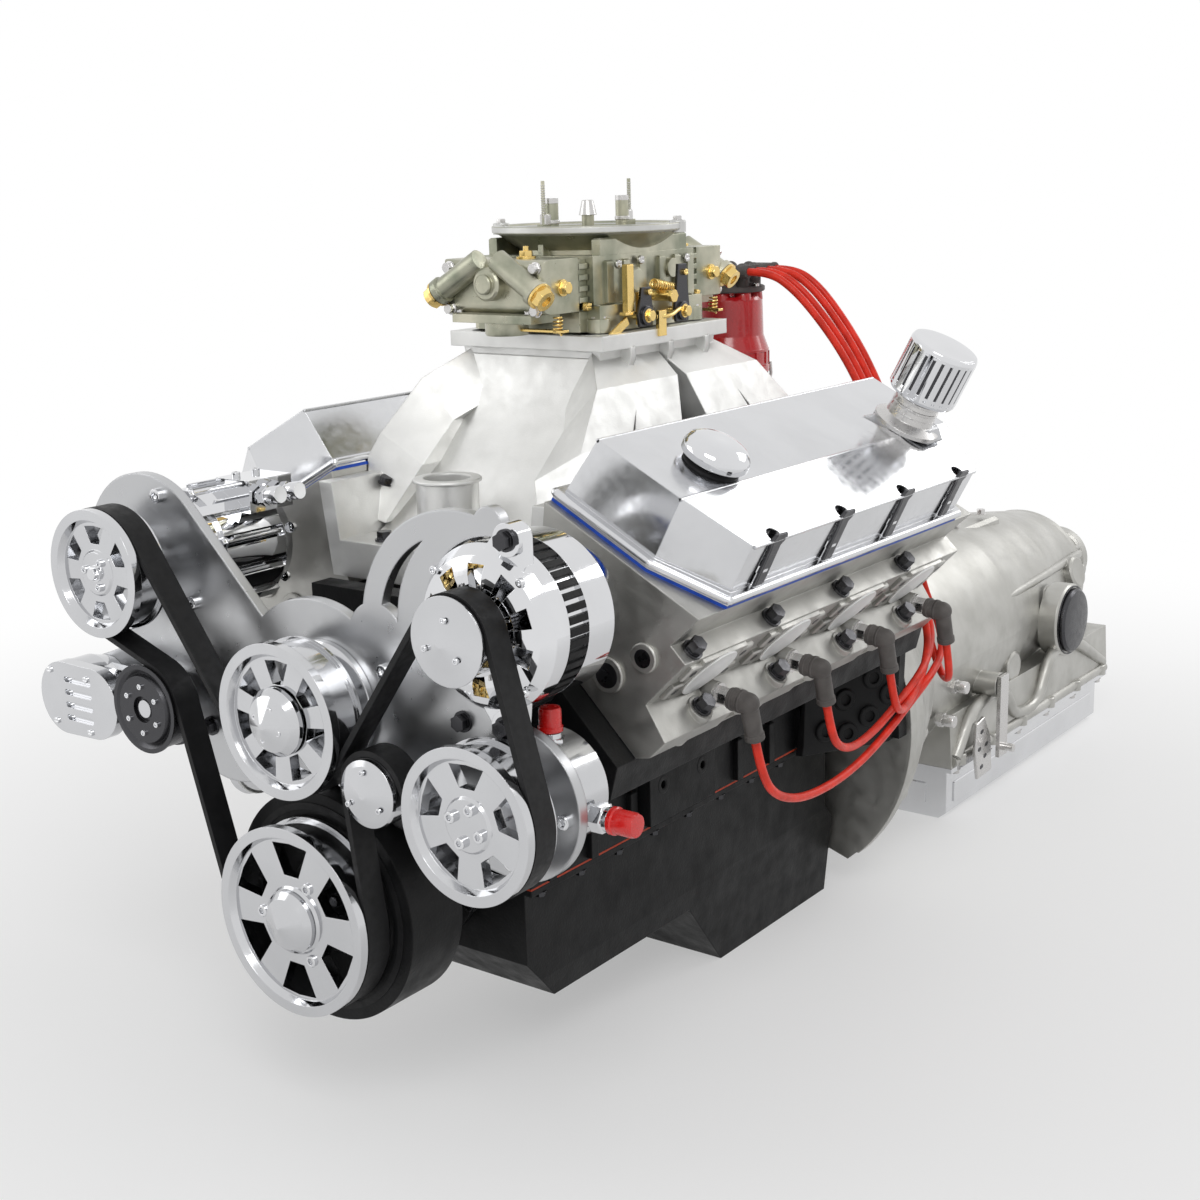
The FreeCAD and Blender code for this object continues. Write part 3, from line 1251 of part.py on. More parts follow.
def accessory_bracket():
    y0 = BRACKET_FRONT
    y1 = BRACKET_BACK
    ax, az = ALTERNATOR_CENTRE
    plates = [capsule(COMPRESSOR_CENTRE, (-125, 170), 80, 87, y0, y1),
              capsule(TENSIONER_PIVOT, (-150, 175), 29, 50, y0, y1),
              rod(92, y0, y1, -12, 172),
              capsule((20, 160), STEERING_CENTRE, 72, 64, y0, y1),
              tube(104, 84, y0, y1, 150, 250).cut(block(0, 400, y0 - 1, y1 + 1, 0, 200)),
              rod(96, y0, y1, ax - 6, az - 12).cut(block(ax, 400, y0 - 1, y1 + 1, 0, 500)),
              rod(14, y0, y1, 183, 346), capsule((60, 240), (70, 190), 30, 40, y0, y1)]
    plate = union(plates)
    x, z = WATER_PUMP_CENTRE
    cuts = [rod(ALTERNATOR_CASE_RADIUS + 3, y0 - 1, y1 + 1, ax, az), rod(41, y0 - 1, y1 + 1, x, z),
            block(ax + 20, 400, y0 - 1, y1 + 1, az - 75, az + 70),
            rod(30, y0 - 1, y1 + 1, *STEERING_CENTRE), rod(19, y0 - 1, y1 + 1, *COMPRESSOR_CENTRE),
            rod(DAMPER_RADIUS + 4, y0 - 1, y1 + 1)]
    plate = plate.cut(cuts)
    posts = [rod(BRACKET_POST_RADIUS, y1, -CLEAR, px, pz) for px, pz in BRACKET_POSTS]
    return union([plate] + posts)


def accessory_bolts():
    """Bolt heads on the bracket's posts and on the alternator's two ears."""
    seats = [(place, BRACKET_FRONT) for place in BRACKET_POSTS]
    seats += [(place, ALTERNATOR_EAR_FRONT) for place in (ALTERNATOR_UPPER_EAR, ALTERNATOR_LOWER_EAR)]
    return [hex_bolt(7.0, 8.0, V(x, y, z), V(0, -1, 0)) for (x, z), y in seats]


def alternator_case():
    x, z = ALTERNATOR_CENTRE
    r = ALTERNATOR_CASE_RADIUS
    hole = ALTERNATOR_SHAFT_RADIUS + RUNNING
    front = turned([(hole, -126), (44, -126), (r - 8, -122), (r, -112), (r, -96), (r - 3, -96), (r - 3, -72),
                    (r, -72), (r, -40), (r - 12, -18), (24, -14), (0, -14), (0, -20), (52, -24), (54, -112),
                    (48, -118), (hole, -118)], x, z)
    slot = prism([(-5, 30), (5, 30), (8, 52), (-8, 52)], -130, -110)
    slot.translate(V(x, 0, z))
    slots = around(slot, 10, x, z)
    seat = BRACKET_FRONT - CLEAR
    arms = []
    for ear in (ALTERNATOR_UPPER_EAR, ALTERNATOR_LOWER_EAR):
        arm = capsule(ALTERNATOR_CENTRE, ear, 40, 13, ALTERNATOR_EAR_FRONT + 4, seat)
        arms.append(arm.cut(rod(r - 4, -130, 0, x, z)))
        arms.append(rod(13, ALTERNATOR_EAR_FRONT, seat, *ear))
    return union([front] + arms).cut(slots)


def alternator_rotor():
    x, z = ALTERNATOR_CENTRE
    shaft = rod(ALTERNATOR_SHAFT_RADIUS, PULLEY_FRONT + 8, -26, x, z)
    core = rod(46, -104, -40, x, z)
    r = ALTERNATOR_RADIUS
    pulley = turned([(0, BELT_FRONT - 4), (r + 3, BELT_FRONT - 4), (r + 3, BELT_FRONT - 1),
                     (r, BELT_FRONT - 1), (r, BELT_BACK + 1), (r + 3, BELT_BACK + 1),
                     (r + 3, BELT_BACK + 3), (0, BELT_BACK + 3)], x, z)
    cover = turned([(0, PULLEY_FRONT - 4), (r * 0.8, PULLEY_FRONT + 2), (r + 4, PULLEY_FRONT + 4),
                    (r + 4, BELT_FRONT - 4), (0, BELT_FRONT - 4)], x, z)
    return union([shaft, core, pulley, cover])


def ac_compressor():
    x, z = COMPRESSOR_CENTRE
    seat = BRACKET_BACK + CLEAR
    nose = rod(18, BELT_BACK + 4 + CLEAR, seat + 2, x, z)
    front = turned([(0, seat), (50, seat), (54, seat + 4), (54, -60), (0, -60)], x, z)
    body = turned([(0, -60), (58, -60), (58, 10), (50, 26), (0, 26)], x, z)
    rib = block(x - 5, x + 5, -88, 8, z + 50, z + 63)
    port = block(x + 14, x + 58, -30, 22, z + 36, z + 66)
    cuts = around(rod(6, -62, 12, x, z + 60), 12, x, z, 15)
    return union([nose, front, body.cut(cuts), port] + around(rib, 4, x, z, 45))


def ac_clutch_pulley():
    body = spoked_pulley(COMPRESSOR_CENTRE, COMPRESSOR_RADIUS, 6, BELT_BACK + 4)
    return body


def ps_pump():
    x, z = STEERING_CENTRE
    nose = turned([(0, -126), (20, -126), (24, -108), (24, -90), (0, -90)], x, z)
    r = PS_BODY_RADIUS
    seat = BRACKET_BACK + CLEAR
    body = turned([(0, seat), (r - 3, seat), (r, seat + 4), (r, -44), (r - 7, -36), (0, -36)], x, z)
    lower = Part.makeCylinder(9, PS_LOWER_REACH - 30, V(x + 30, PS_FITTING_Y, z - 12), V(1, 0, 0))
    upper = Part.makeCylinder(9, PS_UPPER_REACH - 30, V(x + 8, PS_FITTING_Y, z + 30), V(0, 0, 1))
    bore = rod(PS_SHAFT_RADIUS + RUNNING, -127, -60, x, z)
    return union([nose, body, lower, upper]).cut(bore)


def ps_port_caps():
    x, z = STEERING_CENTRE
    lower = Part.makeCylinder(10, 24, V(x + PS_LOWER_REACH + CLEAR, PS_FITTING_Y, z - 12), V(1, 0, 0))
    upper = Part.makeCylinder(9, 20, V(x + 8, PS_FITTING_Y, z + PS_UPPER_REACH + CLEAR))
    return group([lower, upper])


def ps_pulley():
    x, z = STEERING_CENTRE
    body = spoked_pulley(STEERING_CENTRE, STEERING_RADIUS, 5, -126.6)
    return union([body, rod(PS_SHAFT_RADIUS, -130, -64, x, z)])


def idler_pulley():
    x, z = IDLER_CENTRE
    r = IDLER_RADIUS
    body = turned([(0, PULLEY_FRONT - 3), (r * 0.8, PULLEY_FRONT + 2),
                   (r - 1, PULLEY_FRONT + 4), (r, BELT_FRONT - 2),
                   (r, BELT_BACK + 3), (r - 8, BELT_BACK + 3), (r - 8, -146), (0, -146)], x, z)
    return body.fuse(rod(7, -150, BRACKET_FRONT - CLEAR, x, z)).removeSplitter()


def tensioner_arm():
    """The spring arm under its finned cover, with the stub that carries the pulley."""
    cx, cz = TENSIONER_CENTRE
    cover = capsule(TENSIONER_PIVOT, (TENSIONER_COVER_END, cz - 8), 34, 33,
                    PULLEY_FRONT + 8, PULLEY_FRONT + 20)
    grooves = []
    for i in range(4):
        zc = TENSIONER_PIVOT[1] + 18 - 12 * i
        grooves.append(capsule((TENSIONER_PIVOT[0] + 4, zc), (TENSIONER_COVER_END - 4, zc), 2.6, 2.6,
                               PULLEY_FRONT + 7, PULLEY_FRONT + 12))
    body = turned([(0, PULLEY_FRONT + 19), (33, PULLEY_FRONT + 19), (33, -122), (28, BRACKET_FRONT - CLEAR),
                   (0, BRACKET_FRONT - CLEAR)], *TENSIONER_PIVOT)
    back = capsule(TENSIONER_PIVOT, TENSIONER_CENTRE, 26, 16, -126, -114)
    stub = rod(TENSIONER_STUB, -158, -116, cx, cz)
    return union([cover.cut(grooves), body, back, stub])


def tensioner_pulley():
    x, z = TENSIONER_CENTRE
    r = TENSIONER_RADIUS
    body = turned([(12, -160), (30, -160), (32, -156), (r - 2, -159), (r + 2, -159), (r + 2, BELT_FRONT - 1),
                   (r, BELT_FRONT - 1), (r, BELT_BACK + 1), (r + 2, BELT_BACK + 1), (r + 2, BELT_BACK + 3),
                   (12, BELT_BACK + 3)], x, z)
    return body.fuse(tube(13, TENSIONER_STUB + RUNNING, -156, BELT_BACK + 3, x, z)).removeSplitter()


def timing_cover():
    depth = TIMING_COVER_DEPTH
    outside = capsule((0, CAM_HEIGHT), (0, 0), CAM_GEAR_RADIUS + 16, 58, -depth, -CLEAR)
    inside = capsule((0, CAM_HEIGHT), (0, 0), CAM_GEAR_RADIUS + 10, 52, -depth + 5, 0)
    seal = rod(CRANK_SNOUT_RADIUS + 12, -depth - 6, -depth + 8)
    flange = capsule((0, CAM_HEIGHT), (0, 0), CAM_GEAR_RADIUS + 20, 70, -5, -CLEAR)
    body = union([outside, flange, seal]).cut(inside)
    return body.cut(rod(CRANK_SNOUT_RADIUS + RUNNING, -60, 1))


# Oil pan

def oil_pan_gasket():
    half = RAIL_HALF_WIDTH
    sheet = block(-half, half, 0, BLOCK_LENGTH - 18, -PAN_GAP, -CLEAR)
    return sheet.cut([block(-half + 14, half - 14, 14, BLOCK_LENGTH - 30, -5, 5)] + pan_end_cuts())


def pan_end_cuts():
    """Room for the crankshaft in the pan's front end and for the rear main cap in its back."""
    half = MAIN_CAP_HALF_WIDTH + CLEAR
    cap_front = main_ys()[-1] - BULKHEAD / 2.0
    return [rod(CRANK_SNOUT_RADIUS + 2, -1, 20),
            block(-half, half, cap_front, BLOCK_LENGTH, -MAIN_CAP_DEPTH - CLEAR, 1)]


def pan_solid(inset):
    """The pan's outer form, drawn in by a wall: a shallow front and a deep sump at the back."""
    half = RAIL_HALF_WIDTH - 8 - inset
    front = inset
    back = BLOCK_LENGTH - 26 - inset
    side = [(front, 0.5 - PAN_GAP), (front, -74), (front + 40, PAN_SHALLOW + inset),
            (SUMP_FRONT_Y - 70, PAN_SHALLOW + inset), (SUMP_FRONT_Y + inset, SUMP_BOTTOM + inset),
            (SUMP_REAR_Y - inset, SUMP_BOTTOM + inset),
            (SUMP_REAR_Y - inset, -110), (back, -90), (back, 0.5 - PAN_GAP)]
    points = [V(-half, y, z) for y, z in side]
    solid = Part.Face(Part.makePolygon(points + points[:1])).extrude(V(2 * half, 0, 0))
    section = mirrored_outline([(SUMP_HALF_WIDTH - inset, SUMP_BOTTOM + inset), (half, -95), (half, 1)])
    return solid.common(prism(section, 0, BLOCK_LENGTH))


def oil_pan():
    flange = block(-RAIL_HALF_WIDTH, RAIL_HALF_WIDTH, 0, BLOCK_LENGTH - 18, -PAN_GAP - PAN_FLANGE, -PAN_GAP)
    outside = pan_solid(0).common(block(-300, 300, 0, 700, -300, -PAN_GAP))
    body = union([outside, flange])
    return body.cut([pan_solid(PAN_WALL)] + pan_end_cuts())


# Transmission

def transmission_case():
    y0 = BLOCK_LENGTH + CLEAR
    bell_end = y0 + BELL_DEPTH
    inner = BELL_RADIUS - BELL_WALL
    shell = turned([(0, y0), (BELL_RADIUS + 6, y0), (BELL_RADIUS + 6, y0 + 14), (BELL_RADIUS, y0 + 14),
                    (BELL_RADIUS - 3, y0 + 48), (CASE_RADIUS + 14, bell_end - 8), (CASE_RADIUS, bell_end + 6),
                    (CASE_RADIUS - 6, CASE_END_Y - 325), (CASE_RADIUS - 20, CASE_END_Y - 155),
                    (CASE_END_RADIUS, CASE_END_Y - 10),
                    (CASE_END_RADIUS, CASE_END_Y), (0, CASE_END_Y)])
    skirt = prism(mirrored_outline([(TRANS_PAN_HALF_WIDTH, TRANS_PAN_TOP), (TRANS_PAN_HALF_WIDTH - 4, -60)]),
                  TRANS_PAN_FRONT_Y, TRANS_PAN_REAR_Y)
    ribs = []
    for i in range(CASE_RIBS):
        y = bell_end + 60 + CASE_RIB_SPACING * i
        ribs.append(rod(CASE_RADIUS + 4 - 0.09 * (y - bell_end), y, y + 7))
    servo = Part.makeCylinder(SERVO_RADIUS, 46, V(106, SERVO_Y, -10), V(1, 0, 0))
    boss = Part.makeCylinder(16, 46, V(114, SHIFT_Y, SHIFT_Z), V(1, 0, 0))
    hollow = turned([(0, y0 - 1), (inner, y0 - 1), (inner - 3, y0 + 48), (CASE_RADIUS + 6, bell_end - 24),
                     (0, bell_end - 24)])
    cuts = [hollow, rod(24, bell_end - 40, CASE_END_Y + 1),
            Part.makeCylinder(SHIFT_SHAFT_RADIUS + RUNNING, 60, V(110, SHIFT_Y, SHIFT_Z), V(1, 0, 0)),
            block(-400, 400, y0 - 1, bell_end + 30, -300, -150),
            block(-400, 400, TRANS_PAN_FRONT_Y - 1, CASE_END_Y - 1, -300, TRANS_PAN_TOP)]
    return union([shell, skirt, servo, boss] + ribs).cut(cuts)


def shift_lever():
    shaft = Part.makeCylinder(SHIFT_SHAFT_RADIUS, 52, V(114, SHIFT_Y, SHIFT_Z), V(1, 0, 0))
    lever = block(161, 166, SHIFT_Y - 12, SHIFT_Y + 12, SHIFT_Z - 92, SHIFT_Z + 14)
    pin = Part.makeCylinder(5, 14, V(166, SHIFT_Y, SHIFT_Z - 80), V(1, 0, 0))
    return union([shaft, lever, pin])


def transmission_pan():
    top = TRANS_PAN_TOP - CLEAR
    half = TRANS_PAN_HALF_WIDTH
    y0 = TRANS_PAN_FRONT_Y
    y1 = TRANS_PAN_REAR_Y
    flange = block(-half, half, y0, y1, top - 6, top)
    section = mirrored_outline([(half - 22, SUMP_BOTTOM), (half - 12, SUMP_BOTTOM + 8), (half - 12, top - 4)])
    tub = prism(section, y0 + 12, y1 - 12)
    inside = mirrored_outline([(half - 24, SUMP_BOTTOM + 2), (half - 14, SUMP_BOTTOM + 10),
                               (half - 14, top + 1)])
    return union([flange, tub]).cut(prism(inside, y0 + 14, y1 - 14))


def tail_housing():
    y0 = CASE_END_Y + CLEAR
    profile = [(26, y0), (92, y0), (92, y0 + 12), (62, y0 + 40), (44, TAIL_END_Y - 30), (44, TAIL_END_Y),
               (OUTPUT_RADIUS + RUNNING, TAIL_END_Y), (OUTPUT_RADIUS + RUNNING, TAIL_END_Y - 24),
               (26, TAIL_END_Y - 24)]
    body = turned(profile)
    pad = block(-48, 48, TAIL_END_Y - 90, TAIL_END_Y - 30, -76, -30)
    pad = pad.cut(rod(40, TAIL_END_Y - 100, TAIL_END_Y))
    holes = [post(5.0, -77, -60, x, TAIL_END_Y - 60) for x in (-32, 32)]
    return union([body, pad]).cut(holes)


def output_shaft():
    spline_start = OUTPUT_END_Y - SPLINE_LENGTH
    shaft = rod(OUTPUT_RADIUS, CASE_END_Y - 60, TAIL_END_Y + 2)
    free_end = rod(OUTPUT_END_RADIUS, TAIL_END_Y + 1, spline_start)
    splined = rod(OUTPUT_END_RADIUS - 2.5, spline_start - 1, OUTPUT_END_Y)
    tooth = block(-1.4, 1.4, spline_start - 0.5, OUTPUT_END_Y, OUTPUT_END_RADIUS - 4, OUTPUT_END_RADIUS - 0.1)
    return union([shaft, free_end, splined] + around(tooth, 20))


def flexplate():
    y = FLEXPLATE_Y
    plate = rod(FLEXPLATE_RADIUS, y, y + FLEXPLATE_THICKNESS)
    ring = tube(FLEXPLATE_RADIUS + 6, FLEXPLATE_RADIUS - 4, y - 4, y + 6)
    return union([plate, ring]).cut(around(rod(20, y - 1, y + 10, 0, 105), 6))


def torque_converter():
    y = FLEXPLATE_Y + FLEXPLATE_THICKNESS
    profile = [(0, y), (60, y), (CONVERTER_RADIUS - 12, y + 14),
               (CONVERTER_RADIUS, y + 34), (CONVERTER_RADIUS, y + 62),
               (CONVERTER_RADIUS - 40, y + 100), (40, y + 118), (22, y + 122), (22, y + 150), (0, y + 150)]
    return turned(profile)


# Writing out

def place(shape):
    return moved(shape, -ORIGIN.x, -ORIGIN.y, -ORIGIN.z)


def write(name, shape):
    place(shape).exportStep(os.path.join("parts", name + ".step"))


def main():
    os.makedirs("parts", exist_ok=True)
    write("engine_block", engine_block())
    write("main_caps", main_caps())
    write("crankshaft", crankshaft())
    write("crank_gear", crank_gear())
    write("cam_gear", cam_gear())
    write("timing_chain", timing_chain())
    write("camshaft", camshaft())
    write("pistons", pistons())
    head = cylinder_head()
    write("cylinder_head_left", head)
    write("cylinder_head_right", to_right(head))
    gasket = head_gasket()
    write("head_gaskets", group([gasket, to_right(gasket)]))
    write("engine_bolts", group(head_bolts() + intake_bolts() + accessory_bolts()))
    covers = [exhaust_cover(y) for y in bore_ys()]
    write("exhaust_port_covers", group(covers + [to_right(c) for c in covers]))
    write("cover_gaskets", cover_gaskets())
    write("valve_cover_left", valve_cover_left())
    write("valve_cover_right", valve_cover_right())
    write("filler_neck", filler_neck())
    write("filler_cap", filler_cap())
    write("breather_cap", breather_cap())
    write("spark_plugs", spark_plugs())
    write("plug_boots", plug_boots())
    write("plug_wires_left", plug_wires(1))
    write("plug_wires_right", plug_wires(-1))
    write("intake_manifold", intake_manifold())
    write("carb_throttle_body", carb_throttle_body())
    write("carb_main_body", carb_main_body())
    write("carb_front_bowl", carb_bowl(True))
    write("carb_rear_bowl", carb_bowl(False))
    write("primary_throttle_shaft", throttle_shaft(throttle_ys()[0], 22))
    write("secondary_throttle_shaft", throttle_shaft(throttle_ys()[1], 10))
    write("distributor_housing", distributor_housing())
    write("distributor_shaft", distributor_shaft())
    write("distributor_cap", distributor_cap())
    write("drive_belt", drive_belt())
    write("harmonic_damper", harmonic_damper())
    write("crank_pulley", crank_pulley())
    write("crank_pulley_cap", crank_pulley_cap())
    write("water_pump_housing", water_pump_housing())
    write("water_pump_pulley", water_pump_pulley())
    write("accessory_bracket", accessory_bracket())
    write("alternator_case", alternator_case())
    write("alternator_rotor", alternator_rotor())
    write("ac_compressor", ac_compressor())
    write("ac_clutch_pulley", ac_clutch_pulley())
    write("ps_pump", ps_pump())
    write("ps_port_caps", ps_port_caps())
    write("ps_pulley", ps_pulley())
    write("idler_pulley", idler_pulley())
    write("tensioner_arm", tensioner_arm())
    write("tensioner_pulley", tensioner_pulley())
    write("timing_cover", timing_cover())
    write("oil_pan_gasket", oil_pan_gasket())
    write("oil_pan", oil_pan())
    write("transmission_case", transmission_case())
    write("transmission_pan", transmission_pan())
    write("tail_housing", tail_housing())
    write("output_shaft", output_shaft())
    write("shift_lever", shift_lever())
    write("flexplate", flexplate())
    write("torque_converter", torque_converter())


main()
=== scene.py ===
"""A dressed V8 engine with its transmission: finishes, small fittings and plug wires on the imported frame."""

import math

import bmesh
import bpy
from mathutils import Matrix, Vector


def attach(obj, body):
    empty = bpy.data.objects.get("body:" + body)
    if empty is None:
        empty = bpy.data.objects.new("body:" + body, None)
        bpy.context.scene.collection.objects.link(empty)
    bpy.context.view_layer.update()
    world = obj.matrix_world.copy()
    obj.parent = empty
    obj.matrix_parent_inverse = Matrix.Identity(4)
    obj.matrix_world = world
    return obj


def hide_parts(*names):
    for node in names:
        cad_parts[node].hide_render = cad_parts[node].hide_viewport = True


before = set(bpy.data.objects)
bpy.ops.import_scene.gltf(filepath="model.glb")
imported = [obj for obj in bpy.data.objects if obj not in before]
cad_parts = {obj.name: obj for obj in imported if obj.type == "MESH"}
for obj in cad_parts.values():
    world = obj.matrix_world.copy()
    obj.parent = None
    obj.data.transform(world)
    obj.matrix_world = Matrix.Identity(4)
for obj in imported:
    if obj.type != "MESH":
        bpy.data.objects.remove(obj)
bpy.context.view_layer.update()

# Places are millimetres in the engine's own axes: y back along the crankshaft from the block's
# front face, z up from the crankshaft, +x to the left bank. finish_piece() turns them to metres.
MM = 0.001
SHARP_ANGLE = math.radians(32.0)
ORIGIN = Vector((0.0, 439.0, -200.0))
FRONT = Vector((0, -1, 0))
BACK = Vector((0, 1, 0))
LEFT = Vector((1, 0, 0))
UP = Vector((0, 0, 1))

# Banks, heads and covers
BANK_ANGLE = math.radians(45.0)
BANK_STAGGER = 25.0
BORE_YS = [85.0 + 122.9 * i for i in range(4)]
EXHAUST_U = 44.0
EXHAUST_V = 320.0
COVER_TILT = math.radians(28.0)
COVER_RAIL = (136.0, 338.0)
COVER_WIDTH = 172.0
COVER_HEIGHT = 70.0
COVER_RAIL_TOP = 12.0
COVER_BEND = COVER_WIDTH * 0.62
COVER_WELL_YS = [106.0 + 114.0 * i for i in range(4)]
HEAD_FRONT_Y = 25.0
HEAD_REAR_Y = 525.0
FILLER = (95.0, 445.0)
BREATHER = (79.0, 120.0)

# Plugs and wires. A seat is u, the distance behind its bore, and v. The lower routes are the points of
# each left wire, from its boot to the rear of the head.
PLUG_SEAT = (58.0, 24.0, 296.0)
WIRE_RADIUS = 4.0
WIRE_DROP = 32.0
BOOT_ELBOW = Vector((281.0, 24.0, 165.0))
BOOT_TIP = Vector((281.0, 34.0, 131.0))
WIRE_LOWER_ROUTES = (
    ((279, 152, 70), (276, 200, 50), (273, 262, 43), (270, 325, 46), (267, 385, 58), (264, 440, 74),
     (262, 492, 90), (254, 538, 104), (236, 566, 126), (216, 571, 158)),
    ((277, 273, 79), (271, 312, 66), (266, 365, 68), (262, 420, 80), (258, 480, 97), (246, 526, 110),
     (232, 553, 130), (216, 559, 158)),
    ((277, 392, 82), (269, 424, 76), (261, 464, 85), (252, 502, 101), (240, 532, 124), (221, 545, 158)),
    ((274, 510, 84), (258, 528, 82), (243, 539, 102), (232, 541, 130), (219, 536, 164)),
)
WIRE_LANES = (570.0, 558.0, 546.0, 534.0)
# Each upper point: x, z and how far the wire has moved in y from its lane to its terminal
WIRE_UPPER_ROUTE = ((206, 198, 0.0), (202, 240, 0.0), (193, 286, 0.02), (179, 332, 0.07), (161, 376, 0.18),
                    (141, 416, 0.36), (118, 452, 0.62), (96, 480, 0.86), (71, 497, 1.0))
WIRE_END = (46.05, 497.0)
TERMINAL_RING = 30.0

# Carburettor and distributor
CARB_Y = 276.0
CARB_BASE_Z = 459.0
CARB_TOP_Z = 548.5
CARB_STUDS = [(x, dy) for x in (-66.0, 66.0) for dy in (-76.0, 76.0)]
BOWL_FACES = {-1: 131.0, 1: 421.0}
BOWL_PUMP_INSET = 18.0
METER_BLOCK_REACH = 89.3
DISTRIBUTOR_Y = 520.0

# Front drive: (x, z) of each axis
CRANK = (0.0, 0.0)
WATER_PUMP = (0.0, 175.0)
STEERING = (199.0, 126.0)
ALTERNATOR = (187.0, 268.0)
COMPRESSOR = (-219.0, 273.0)
IDLER = (96.0, 131.0)
TENSIONER = (-173.0, 156.0)
TENSIONER_PIVOT = (-287.0, 148.0)
PULLEY_FACE_Y = -157.0
HUB_FACE_Y = PULLEY_FACE_Y - 4.0
BRACKET_FRONT_Y = -104.0
# Each port of the steering pump: its seat from the pump's axis, and the way it faces
STEERING_PORTS = ((Vector((46.0, -66.0, -12.0)), LEFT), (Vector((8.0, -66.0, 34.0)), UP))

# Transmission
BELL_FACE_Y = 555.0
SERVO = Vector((150.0, 1150.0, -10.0))
TRANS_PAN_YS = (810.0, 1330.0)
TRANS_PAN_RIM_Z = -134.6
TRANS_PAN_BEAD_Z = -182.0

# Room, lamps and camera, in metres. Each lamp has its place, its two sides and its power.
FLOOR_REACH = 9.0
FLOOR_DROP = 0.0005
FLOOR_FADE = (0.5, 1.9)
ROOM_LIGHT = 0.42
LAMP_TARGET = Vector((0.0, 0.0, 0.35))
LAMPS = {
    "key": ((1.6, -2.2, 2.6), (1.6, 1.2), 36),
    "fill": ((-2.4, -1.8, 1.5), (1.6, 1.6), 12),
    "rim": ((1.2, 2.6, 2.0), (1.6, 1.0), 18),
}
CAMERA_PLACE = (1.0247, -1.5266, 0.8016)
CAMERA_AXES = ((0.8036, 0.5946, -0.0252), (-0.1218, 0.2058, 0.9710), (0.5826, -0.7772, 0.2378))
CAMERA_LENS = 52.35
CAMERA_SENSOR = 36.0

# Castings given a paler or darker copy of their slot's colour: painted light on the intake on top, painted
# shade on the heads' sides
PAINTED_LIGHT_FINISHES = {"intake_manifold": "pale_casting", "cylinder_head_left": "head_casting",
                "cylinder_head_right": "head_casting"}


# Mesh builders. Each adds to a bmesh in millimetres; "at" carries a shape from its own axes to its place.

def stand(place, up=UP, across=LEFT):
    """A frame at place whose z is up and whose x leans towards across."""
    z = Vector(up).normalized()
    x = Vector(across)
    if z.cross(x).length < 0.01:
        x = BACK
    x = (x - z * x.dot(z)).normalized()
    y = z.cross(x)
    turn = Matrix((x, y, z)).transposed().to_4x4()
    return Matrix.Translation(Vector(place)) @ turn


def on_bank(u, y, v):
    """A point of the left bank, u out from the bores' axis plane and v up the bores."""
    c = math.cos(BANK_ANGLE)
    s = math.sin(BANK_ANGLE)
    return Vector((u * c + v * s, y, v * c - u * s))


BANK_OUT = Vector((math.cos(BANK_ANGLE), 0, -math.sin(BANK_ANGLE)))
COVER_OUT = Vector((math.cos(COVER_TILT), 0, -math.sin(COVER_TILT)))
COVER_UP = Vector((math.sin(COVER_TILT), 0, math.cos(COVER_TILT)))


def on_cover(a, y, b):
    """A point of the left valve cover, a out from its inner rail and b above its gasket."""
    return Vector((COVER_RAIL[0], y, COVER_RAIL[1])) + COVER_OUT * a + COVER_UP * b


def ring_of(bm, at, radius, height, count, hexagonal=False):
    """The vertices of one ring round z, on a circle or on a hexagon's edge."""
    corners = []
    for i in range(count):
        angle = 2 * math.pi * i / count
        reach = radius
        if hexagonal:
            reach = radius * hex_share(angle)
        corners.append(bm.verts.new(at @ Vector((reach * math.cos(angle), reach * math.sin(angle), height))))
    return corners


def hex_share(angle):
    """Reach of a hexagon's edge at an angle, as a share of its corners' reach."""
    within = angle % (math.pi / 3) - math.pi / 6
    return math.cos(math.pi / 6) / math.cos(within)


def lathe(bm, at, profile, count=32, hexagonal=()):
    """A (radius, height) profile turned about z, closed where it starts or ends at radius 0."""
    before = None
    for i, (radius, height) in enumerate(profile):
        if radius == 0:
            here = [bm.verts.new(at @ Vector((0, 0, height)))]
        else:
            here = ring_of(bm, at, radius, height, count, i in hexagonal)
        if before:
            join_rings(bm, before, here, count)
        before = here


def join_rings(bm, a, b, count):
    """Faces between two rings, either of which may be a single point."""
    for i in range(count):
        j = (i + 1) % count
        if len(a) == 1:
            bm.faces.new((a[0], b[j], b[i]))
        elif len(b) == 1:
            bm.faces.new((a[i], a[j], b[0]))
        else:
            bm.faces.new((a[i], a[j], b[j], b[i]))


def prism(bm, at, outline, z0, z1, chamfer=0.0):
    """An (x, y) outline, listed counterclockwise, raised from z0 to z1 with a chamfered top edge."""
    levels = [(0.0, z0), (0.0, z1 - chamfer)]
    if chamfer:
        levels.append((chamfer, z1))
    rings = []
    for inset, z in levels:
        points = drawn_in(outline, inset) if inset else outline
        rings.append([bm.verts.new(at @ Vector((x, y, z))) for x, y in points])
    for a, b in zip(rings[:-1], rings[1:]):
        join_rings(bm, a, b, len(outline))
    bm.faces.new(rings[-1])
    bm.faces.new(rings[0][::-1])


def drawn_in(outline, inset):
    """An outline with every side moved inwards by an inset."""
    points = []
    for i, point in enumerate(outline):
        here = Vector(point)
        before = (here - Vector(outline[i - 1])).normalized()
        after = (Vector(outline[(i + 1) % len(outline)]) - here).normalized()
        inward = Vector((-before.y - after.y, before.x + after.x)).normalized()
        spread = max(0.35, inward.dot(Vector((-before.y, before.x))))
        points.append(tuple(here + inward * inset / spread))
    return points


def slab(bm, at, x0, x1, y0, y1, z0, z1, chamfer=0.6):
    """A box between its limits, with a chamfered top."""
    prism(bm, at, [(x0, y0), (x1, y0), (x1, y1), (x0, y1)], z0, z1, chamfer)


